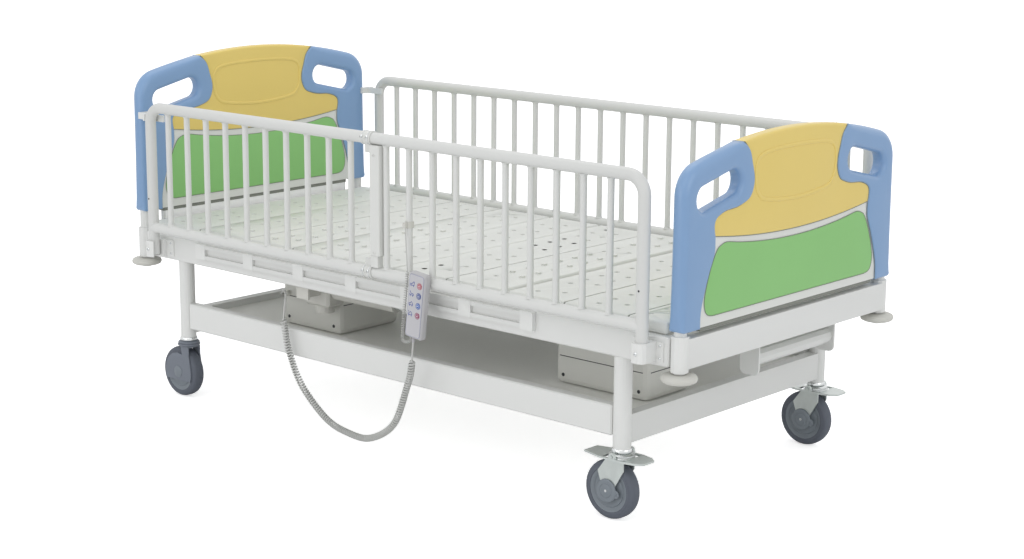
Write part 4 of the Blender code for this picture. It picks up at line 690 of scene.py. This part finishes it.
def moulding(outline, x, thick, rounding, hole=None, hole_round=0.008, steps=5):
    """Make a plate across X whose rims are rounded, point by point, with a rounded opening."""
    shape = bmesh.new()
    loops = []
    for line, rounds, turn in ((outline, rounding, 1.0),) + (((hole, None, -1.0),) if hole else ()):
        rounds = rounds or [hole_round] * len(line)
        rings = []
        for face in (-1, 1):
            group = []
            for k in range(steps + 1):
                angle = (pi / 2) * k / steps
                inset = [turn * r * (1 - cos(angle)) for r in rounds]
                depth = [x + face * (thick / 2 - r * (1 - sin(angle))) for r in rounds]
                ring = inward(line, inset)
                group.append([shape.verts.new(Vector((d, y, z))) for (y, z), d in zip(ring, depth)])
            rings.append(group)
        whole = rings[0][::-1] + rings[1]
        for lower_ring, upper_ring in zip(whole, whole[1:]):
            for i in range(len(line)):
                j = (i + 1) % len(line)
                shape.faces.new((lower_ring[i], lower_ring[j], upper_ring[j], upper_ring[i]))
        loops.append((whole[0], whole[-1]))
    for which in (0, 1):
        edges = []
        for pair in loops:
            ring = pair[which]
            for i in range(len(ring)):
                edge = shape.edges.get((ring[i], ring[(i + 1) % len(ring)]))
                if edge:
                    edges.append(edge)
        bmesh.ops.triangle_fill(shape, use_beauty=True, use_dissolve=False, edges=edges)
    return shape


HALF_GAP = 0.00015
SIDE_T, UPPER_T, LOWER_T = 0.036, 0.030, 0.029
SIDE_ROUND, INNER_ROUND, PANEL_ROUND = 0.0172, 0.0034, 0.0022
PAD = [(0.0, 0.333), (0.075, 0.331), (0.126, 0.324), (0.144, 0.306), (0.145, 0.270), (0.134, 0.245)]
PAD += [(0.104, 0.231), (0.0, 0.223)]
for end, way, base, rise in (("head", -1, 0.454, HEAD_RISE), ("foot", 1, 0.420, 0.0)):
    x = way * POST_X
    name = end + "board_"

    def lifted(outline):
        return [(y, z + base + rise * min(1.0, max(0.0, z) / SEAM_UP)) for y, z in outline]

    arm, waist = arm_line(), waist_line()
    seam_spots = [(LEG_WAIST * k / 14, seam(LEG_WAIST * k / 14)) for k in range(15)]
    top_spots = [(arm[0][0] * k / 8, arch(arm[0][0] * k / 8)) for k in range(9)]
    outer = shoulder_line()
    frame_line = [arm[0]] + outer + [(LEG_INNER + 0.006, 0.0)] + waist[::-1] + arm[::-1][1:-1]
    frame_line = tidy(frame_line)
    outer_set = set(outer)
    rounding = []
    for spot in frame_line:
        rounding.append(SIDE_ROUND if spot in outer_set and spot[1] > 0.012 else INNER_ROUND)
    rounding = evened(rounding, 6)
    for side_name, turn in (("near", -1), ("far", 1)):
        line = inward(lifted([(turn * y, z) for y, z in frame_line]), [HALF_GAP] * len(frame_line))
        hole = lifted([(turn * y, z) for y, z in tidy(hole_line())])
        node = name + "side_" + side_name
        side_plate = moulding(line, x, SIDE_T, rounding, hole, 0.0120)
        put(node + "_moulding", side_plate, BLUE, end + "board", (node,), 60)
    upper = tidy(whole_line(top_spots + arm[1:-1] + seam_spots[::-1]))
    soft = evened([0.0065 if abs(z - arch(y)) < 0.002 else PANEL_ROUND for y, z in upper], 2)
    line = inward(lifted(upper), [HALF_GAP] * len(upper))
    put(name + "upper_moulding", moulding(line, x, UPPER_T, soft), YELLOW, end + "board",
        (name + "upper",), 60)
    lower = tidy(whole_line(lower_line()))
    line = inward(lifted(lower), [HALF_GAP] * len(lower))
    put(name + "lower_moulding", moulding(line, x, LOWER_T, [PANEL_ROUND] * len(lower)), GREEN,
        end + "board", (name + "lower",), 60)
    for hold in NODES[name + "ground"].material_slots:
        hold.material = GROUND
    edge = lifted(arm + waist[1:])
    seams = []
    for face in (-1, 1):
        for turn in (-1, 1):
            spots = [(x + face * 0.0147, turn * y, z) for y, z in edge]
            seams.append(sweep(spots, 0.0010, 8, (1, 0, 0), squash=0.5))
        under = lifted([(y, z) for y, z in seam_spots])
        under = [(-y, z) for y, z in reversed(under[1:])] + under
        spots = [(x + face * 0.0142, y, z) for y, z in under]
        seams.append(sweep(spots, 0.0009, 8, (1, 0, 0), squash=0.8))
        inset = lifted(tidy(whole_line(lower_line()), 0.004))
        spots = [(x + face * 0.0141, y, z) for y, z in inset]
        seams.append(sweep(spots, 0.0006, 8, (1, 0, 0), closed=True, squash=0.8))
    put(name + "seams", gather(seams), SEAM_SHADE, end + "board", (), 80)
    # Painted shadow: a dark strip along the board's bottom edge, in the gap above the end rail
    gap_shadow = box((x - 0.010, -0.314, base - 0.0065), (x + 0.010, 0.314, base + 0.0018), 0.001)
    put(name + "gap_shadow", gap_shadow, SEAM_SHADE, end + "board", (), 40)
    pad = flow([(y, z) for y, z in lifted(whole_line(PAD))], 8, closed=True)
    for face in (-1, 1):
        spots = [(x + face * 0.0150, y, z) for y, z in pad]
        bead = sweep(spots, 0.0042, 12, (1, 0, 0), closed=True, squash=0.42)
        facing_way = "out" if face * way > 0 else "in"
        put(name + "pad_" + facing_way, bead, YELLOW, end + "board", (), 80)


# Lying surface: the solids' panels with grooves and vent holes sunk in

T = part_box("deck_seat")[1].z
LINES = (-0.626, -0.456, -0.290, 0.202, 0.535, 0.703)
EDGES = (-0.806,) + LINES[:3] + (-0.120, 0.040) + LINES[3:4] + (0.371,) + LINES[4:] + (0.800,)
ROW_OFF, HOLE_STEP, HOLE_REACH = 0.026, 0.053, 0.335
SECTIONS = {"deck_back": "backrest", "deck_seat": "frame", "deck_thigh": "thigh", "deck_calf": "calf"}
for node, body in SECTIONS.items():
    low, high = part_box(node)
    if node == "deck_back":
        high = Vector((-0.122, high.y, high.z))
    if node == "deck_thigh":
        low = Vector((0.042, low.y, low.z))
    panel = bmesh.new()
    panel.from_mesh(NODES[node].data)
    panel.transform(NODES[node].matrix_world)
    cutters = []
    shades = []
    for x in LINES:
        if low.x < x < high.x:
            start, stop = (x - 0.0022, low.y - 0.01, T - 0.0028), (x + 0.0022, high.y + 0.01, T + 0.01)
            cutters.append(box(start, stop))
            start, stop = (x - 0.0018, low.y + 0.001, T - 0.0034), (x + 0.0018, high.y - 0.001, T - 0.0022)
            shades.append(box(start, stop))
    rows = []
    for a, b in zip(EDGES, EDGES[1:]):
        middle = (a + b) / 2
        if low.x - 0.01 < middle < high.x + 0.01:
            rows += [middle - ROW_OFF, middle + ROW_OFF]
    for k, x in enumerate(rows):
        shift = 0.0265 if k % 2 else 0.0
        for j in range(-7, 7):
            y = j * HOLE_STEP + shift
            if abs(y) < HOLE_REACH:
                cone = [(0, T - 0.004), (0.0058, T - 0.004), (0.0070, T + 0.004), (0, T + 0.004)]
                cutters.append(lathe(cone, (x, y, 0), "z", 12))
                floor_disc = [(0, T - 0.0046), (0.0056, T - 0.0046), (0.0056, T - 0.0032), (0, T - 0.0032)]
                shades.append(lathe(floor_disc, (x, y, 0), "z", 12))
    panel = boolean(panel, gather(cutters))
    put(node + "_panel", panel, DECK, body, (node,), 35)
    put(node + "_vents", gather(shades), VENT, body, (), 35)


# Buffers, wheels and fork fittings

def turned(x, y, z):
    """Turn a domed buffer with a soft rim."""
    profile = [(0.0064, 0.0), (0.018, 0.0), (0.030, -0.0010), (0.0348, -0.0035), (0.0369, -0.0085)]
    profile += [(0.0352, -0.0138), (0.030, -0.0168), (0.018, -0.018), (0.0064, -0.018)]
    return lathe(profile, (x, y, z), "z", 40)


LEG_X, LEG_Y, BUFFER_Y, WHEEL_R, TYRE_HALF = 0.688, 0.355, 0.364, 0.0625, 0.016
AXLE_Z = WHEEL_R
for end, way in (("head", -1), ("foot", 1)):
    foot = end == "foot"
    for side_name, turn in (("near", -1), ("far", 1)):
        n = end + "_" + side_name
        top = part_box("bumper_" + n)[1].z
        put("buffer_" + n + "_disc", turned(way * POST_X, turn * BUFFER_Y, top), CREAM, "buffer_" + n,
            ("bumper_" + n,), 50)
        low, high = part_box("caster_wheel_" + n)
        x, y = (low.x + high.x) / 2, (low.y + high.y) / 2
        half = TYRE_HALF
        tyre = [(0.047, half - 0.001), (0.0478, half), (0.0530, half), (0.0538, half - 0.0007)]
        tyre += [(0.0556, half - 0.0006), (0.0590, half - 0.0022), (0.0612, half - 0.0050)]
        tyre.append((WHEEL_R, half - 0.0100))
        put("wheel_" + n + "_tyre", lathe(two_sided(tyre), (x, y, AXLE_Z), "y", 64), TYRE, "wheel_" + n,
            ("caster_wheel_" + n,), 40)
        disc = [(0.0054, half), (0.0150, half), (0.0165, half - 0.0025), (0.0180, half - 0.0035)]
        disc += [(0.0360, half - 0.0030), (0.0372, half - 0.0042), (0.0386, half - 0.0030)]
        disc += [(0.0440, half - 0.0022), (0.0470, half - 0.0012)]
        put("wheel_" + n + "_disc", lathe(two_sided(disc), (x, y, AXLE_Z), "y", 64), HUB, "wheel_" + n,
            (), 40)
        fork = "swivel_" + n
        fx, fy = way * LEG_X, turn * LEG_Y
        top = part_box("caster_fork_" + n)[1].z
        race = [(0, top - 0.0145), (0.0245, top - 0.0145), (0.0278, top - 0.0125), (0.0282, top - 0.0108)]
        race += [(0.0270, top - 0.0094), (0.0248, top - 0.0086), (0.0246, top - 0.0076)]
        race += [(0.0262, top - 0.0068), (0.0266, top - 0.0054), (0.0252, top - 0.0040)]
        race += [(0.0205, top - 0.0012), (0.0, top - 0.0008)]
        race = lathe(race, (fx, fy, 0), "z", 40)
        put(fork + "_race", race, BRIGHT if foot else HOOD, fork, (), 50)
        caps = []
        for face in (-1, 1):
            if foot:
                nut = [(0, 0), (0.0068, 0), (0.0068, 0.0030), (0.0060, 0.0038), (0.0034, 0.0038)]
                nut += [(0.0030, 0.0052), (0, 0.0052)]
                spot = (x, y + face * (0.0197 - 0.0006), AXLE_Z)
                caps.append(lathe(facing(nut, face), spot, "y", 6))
            else:
                cap = [(0, 0), (0.0150, 0), (0.0146, 0.0016), (0.0120, 0.0026), (0, 0.0030)]
                spot = (x, y + face * (0.0195 - 0.0008), AXLE_Z)
                caps.append(lathe(facing(cap, face), spot, "y", 36))
        put(fork + "_caps", gather(caps), BRIGHT if foot else HUB, fork, (), 30)
        if foot:
            cover = [(0, 0), (0.0245, 0), (0.0245, 0.0016), (0.0232, 0.0028), (0.0160, 0.0032)]
            cover += [(0.0156, 0.0027), (0.0148, 0.0027), (0.0144, 0.0033), (0.0120, 0.0040), (0, 0.0042)]
            covers = []
            for face in (-1, 1):
                base_y = y + face * 0.0200
                covers.append(lathe(facing(cover, face), (x, base_y, AXLE_Z), "y", 44))
                lobe = [(0, 0), (0.0088, 0), (0.0086, 0.0014), (0.0076, 0.0022), (0, 0.0022)]
                covers.append(lathe(facing(lobe, face), (x + 0.0235, base_y, AXLE_Z - 0.004), "y", 28))
                spot = (x + 0.0255, base_y + face * 0.0022, AXLE_Z - 0.004)
                covers.append(screw(spot, (0, face, 0), 0.0028, 0.0012))
            put(fork + "_hub_covers", gather(covers), HUB, fork, (), 35)


# Mattress stop face in a brighter white: painted light, standing in for the light that falls on it

stop = box((-0.8262, -0.308, 0.4070), (-0.8250, 0.308, 0.4510), 0.0005)
put("stop_face", stop, STOP_LIT_WHITE, "frame", (), 40)


# Screws on the sleeves, posts and base

RAIL_SCREW_Y, SLEEVE_SCREW_Y = 0.3795, 0.4235
shapes = []
for turn in (-1, 1):
    for way in (-1, 1):
        gx = way * GUARD_X if way > 0 else -HEAD_X if turn < 0 else -FAR_X
        for z in (0.363, 0.389):
            shapes.append(screw((gx - way * 0.033, turn * RAIL_SCREW_Y, z), (0, turn, 0), 0.0032))
            shapes.append(screw((gx + way * 0.026, turn * RAIL_SCREW_Y, z), (0, turn, 0), 0.0032))
        shapes.append(screw((gx, turn * SLEEVE_SCREW_Y, 0.376), (0, turn, 0), 0.0042, 0.0026))
put("frame_screws", gather(shapes), BRIGHT, "frame", ())
shapes = []
for way in (-1, 1):
    for turn in (-1, 1):
        ring = [(0.0188, 0), (0.0214, 0), (0.0214, 0.005), (0.0200, 0.0068), (0.0188, 0.0068)]
        shapes.append(lathe(ring, (way * LEG_X, turn * LEG_Y, 0.1472), "z", 36))
put("leg_ferrules", gather(shapes), BRIGHT, "frame", ())


# Handset, with its face plate, keys and printed marks

HOOK_HALF, HOOK_T, HOOK_GAP = 0.0065, 0.002, 0.0005
start, stop = (HAND_X - HAND_W / 2, HAND_FRONT, HAND_LOW), (HAND_X + HAND_W / 2, HAND_BACK, HAND_TOP)
shell = lean(box(start, stop, 0.0062, 5))
hook_z = GUARD_LOW + TUBE_R + HOOK_GAP
hook_in = -(GUARD_Y - TUBE_R - HOOK_GAP)
stop = (HAND_X + HOOK_HALF, hook_in + HOOK_T, hook_z + HOOK_T)
over_hook = box((HAND_X - HOOK_HALF, HAND_BACK - 0.004, hook_z), stop, 0.0006)
lip = box((HAND_X - HOOK_HALF, hook_in, hook_z - 0.018), stop, 0.0006)
ribs = []
for k in range(6):
    z = HAND_LOW - 0.0015 - k * 0.0019
    r = 0.0046 - k * 0.0003
    profile = [(0, z), (r, z), (r, z - 0.0011), (0, z - 0.0011)]
    ribs.append(lean(lathe(profile, (RELIEF_X, HAND_MID, 0), "z", 20)))
stem = lean(lathe([(0, HAND_LOW + 0.002), (0.0038, HAND_LOW + 0.002), (0.0029, HAND_LOW - RELIEF_L),
                   (0, HAND_LOW - RELIEF_L)], (RELIEF_X, HAND_MID, 0), "z", 20))
put("handset_body", gather([shell, over_hook, lip, stem] + ribs), HAND, "near_guard", ("handset",),
    40)


def rounded(cx, cz, half_w, half_h, r, per=6):
    """List the outline of a rounded rectangle."""
    spots = []
    for sx, sz, start in ((1, 1, 0), (-1, 1, 90), (-1, -1, 180), (1, -1, 270)):
        spots += arc(cx + sx * (half_w - r), cz + sz * (half_h - r), r, start, start + 90, per)
    return spots


mid_z = (HAND_TOP + HAND_LOW) / 2
rim_line = rounded(HAND_X, mid_z, HAND_W / 2 - 0.0042, HAND_H / 2 - 0.0045, 0.006)
spots = [(u, HAND_FRONT, v) for u, v in rim_line]
rim = lean(sweep(spots, 0.0008, 8, (0, 1, 0), closed=True, squash=0.5))
put("handset_rim", rim, LINE, "near_guard", (), 80)
face = bmesh.new()
ring = [face.verts.new((u, HAND_FRONT - 0.00035, v))
        for u, v in rounded(HAND_X, mid_z, HAND_W / 2 - 0.0048, HAND_H / 2 - 0.0051, 0.0055)]
back_ring = [face.verts.new((v.co.x, HAND_FRONT + 0.0005, v.co.z)) for v in ring]
face.faces.new(ring)
face.faces.new(back_ring)
for i in range(len(ring)):
    j = (i + 1) % len(ring)
    face.faces.new((ring[i], ring[j], back_ring[j], back_ring[i]))
holes = []
button_x = HAND_X + 0.010
KEYS = (RED, NAVY, KEY_BLUE, MAGENTA)
KEY_DOWN, KEY_STEP, SIGN_SIZE = 0.0265, 0.022, 0.00108
for k in range(len(KEYS)):
    z = HAND_TOP - KEY_DOWN - KEY_STEP * k
    run = [(button_x, HAND_FRONT - 0.01, z), (button_x, HAND_FRONT + 0.002, z)]
    holes.append(sweep(run, 0.0059, 28, (0, 0, 1)))
face = boolean(face, gather(holes))
put("handset_face", lean(face), PLATE, "near_guard", (), 40)
for k, surface in enumerate(KEYS):
    z = HAND_TOP - KEY_DOWN - KEY_STEP * k
    number = str(k + 1)
    profile = [(0, 0.0), (0.0030, 0.00005), (0.0044, 0.0003), (0.0050, 0.0008), (0.00525, 0.0014)]
    profile += [(0.00525, 0.0056), (0, 0.0056)]
    key = lean(lathe(profile, (button_x, HAND_FRONT - 0.0016, z), "y", 36))
    put("handset_key_" + number, key, surface, "button_" + number, ("handset_button_" + number,),
        50)
    tick = 0.0020
    up_down = 1 if k % 2 == 0 else -1
    arrow = [(button_x - tick, z - up_down * tick * 0.5), (button_x, z + up_down * tick * 0.8)]
    arrow.append((button_x + tick, z - up_down * tick * 0.5))
    ring = [(button_x + u, z + v) for u, v in arc(0, 0, 0.0038, 0, 345, 23)]
    marks = [sweep([(u, HAND_FRONT - 0.00162, v) for u, v in arrow], 0.00060, 8, (0, 1, 0), squash=0.35)]
    spots = [(u, HAND_FRONT - 0.00125, v) for u, v in ring]
    marks.append(sweep(spots, 0.00040, 8, (0, 1, 0), closed=True, squash=0.5))
    put("handset_mark_" + number, lean(gather(marks)), PALE_MARK, "button_" + number, (), 80)
    rim = [(button_x + u, HAND_FRONT - 0.00030, z + v) for u, v in arc(0, 0, 0.0067, 0, 352, 44)]
    rim_shape = lean(sweep(rim, 0.0006, 8, (0, 1, 0), closed=True, squash=0.5))
    put("handset_ring_" + number, rim_shape, surface, "near_guard", (), 80)
    left = HAND_X - 0.0115
    bends = ([(-5, 1), (-1, 1), (4, 6)], [(-5, 6), (-1, 1), (5, 1)], [(-5, 1), (-2, 1), (1, 5), (5, 1)],
             [(-5, 6), (-2, 1), (1, 5), (5, 1)])[k]
    strokes = [bends, [(-5, -2), (5, -2)], [(-3.5, -2), (-3.5, -5)], [(3.5, -2), (3.5, -5)]]
    strokes += [[(-5, 1), (-5, -2)], [(5, -2), (5, bends[-1][1])]]
    lines = []
    for stroke in strokes:
        spots = [(left + u * SIGN_SIZE, HAND_FRONT - 0.00035, z + v * SIGN_SIZE) for u, v in stroke]
        lines.append(sweep(spots, 0.00080, 8, (0, 1, 0), squash=0.45))
    put("handset_sign_" + number, lean(gather(lines)), SIGN, "near_guard", (), 80)


# Boxes under the bed: lid seams and screws

POWER_FRONT, LID_SHARE, SEAM_IN, SCREW_IN = -0.245, 0.62, 0.012, 0.022
shapes = []
for node in ("power_box", "control_box"):
    low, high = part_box(node)
    front = POWER_FRONT if node == "power_box" else low.y
    z = low.z + (high.z - low.z) * LID_SHARE
    run = [(low.x + SEAM_IN, front, z), (high.x - SEAM_IN, front, z)]
    shapes.append(sweep(run, 0.0010, 8, (0, 1, 0), squash=0.6))
    run = [(high.x, front + SEAM_IN, z), (high.x, high.y - SEAM_IN, z)]
    shapes.append(sweep(run, 0.0010, 8, (1, 0, 0), squash=0.6))
    for x in (low.x + SCREW_IN, high.x - SCREW_IN):
        shapes.append(screw((x, front, low.z + 0.020), (0, -1, 0), 0.0040))
put("box_seams", gather(shapes), DARK, "frame", ())


# Floor, light and backdrop

FLOOR_REACH, FLOOR_Z = 30, -0.0006
corners = [(x * FLOOR_REACH, y * FLOOR_REACH, FLOOR_Z) for x, y in ((-1, -1), (1, -1), (1, 1), (-1, 1))]
floor_mesh = bpy.data.meshes.new("floor")
floor_mesh.from_pydata(corners, [], [(0, 1, 2, 3)])
floor = bpy.data.objects.new("floor", floor_mesh)
bpy.context.collection.objects.link(floor)
ground = bpy.data.materials.new("floor_white")
ground.use_nodes = True
nodes, links = ground.node_tree.nodes, ground.node_tree.links
shader = nodes["Principled BSDF"]
shader.inputs["Base Color"].default_value = (0.90, 0.90, 0.90, 1)
shader.inputs["Roughness"].default_value = 0.9
shader.inputs["Specular IOR Level"].default_value = 0.1
glow = nodes.new("ShaderNodeEmission")
glow.inputs["Color"].default_value = (1, 1, 1, 1)
glow.inputs["Strength"].default_value = 0.60
extra = nodes.new("ShaderNodeAddShader")
rays = nodes.new("ShaderNodeLightPath")
pick = nodes.new("ShaderNodeMixShader")
links.new(rays.outputs["Is Camera Ray"], pick.inputs["Fac"])
links.new(shader.outputs["BSDF"], extra.inputs[0])
links.new(glow.outputs["Emission"], extra.inputs[1])
links.new(shader.outputs["BSDF"], pick.inputs[1])
links.new(extra.outputs["Shader"], pick.inputs[2])
links.new(pick.outputs["Shader"], nodes["Material Output"].inputs["Surface"])
floor_mesh.materials.append(ground)

world = bpy.data.worlds.new("studio")
world.use_nodes = True
nodes, links = world.node_tree.nodes, world.node_tree.links
back = nodes["Background"]
back.inputs["Color"].default_value = (0.97, 0.98, 1.0, 1)
back.inputs["Strength"].default_value = 0.78
plain = nodes.new("ShaderNodeBackground")
plain.inputs["Color"].default_value = (1, 1, 1, 1)
plain.inputs["Strength"].default_value = 1.0
rays = nodes.new("ShaderNodeLightPath")
seen = rays.outputs["Is Camera Ray"]
for kind in ("Is Glossy Ray", "Is Transmission Ray"):
    most = nodes.new("ShaderNodeMath")
    most.operation = "MAXIMUM"
    links.new(seen, most.inputs[0])
    links.new(rays.outputs[kind], most.inputs[1])
    seen = most.outputs["Value"]
pick = nodes.new("ShaderNodeMixShader")
links.new(seen, pick.inputs["Fac"])
links.new(back.outputs["Background"], pick.inputs[1])
links.new(plain.outputs["Background"], pick.inputs[2])
links.new(pick.outputs["Shader"], nodes["World Output"].inputs["Surface"])
bpy.context.scene.world = world


def lamp(name, spot, target, size, power, colour=(1, 1, 1)):
    """Hang a soft lamp that faces a target."""
    light = bpy.data.lights.new(name, "AREA")
    light.shape = "DISK"
    light.size = size
    light.energy = power
    light.color = colour
    made = bpy.data.objects.new(name, light)
    bpy.context.collection.objects.link(made)
    made.location = spot
    made.rotation_euler = (Vector(target) - Vector(spot)).to_track_quat("-Z", "Y").to_euler()
    return made


lamp("key", (1.6, -3.2, 3.6), (0, 0, 0.4), 2.8, 11, (1.0, 0.99, 0.97))
lamp("fill", (4.2, -0.4, 2.0), (0.2, 0, 0.4), 2.6, 17, (0.99, 0.99, 1.0))
lamp("top", (-0.4, 0.4, 3.8), (0, 0, 0.4), 3.2, 24)
lamp("low", (0.0, -4.4, 1.0), (0, 0, 0.25), 2.2, 14)
lamp("strip", (-2.4, -4.2, 2.6), (0, 0, 0.5), 0.55, 9)

bpy.context.scene.view_settings.view_transform = "Standard"
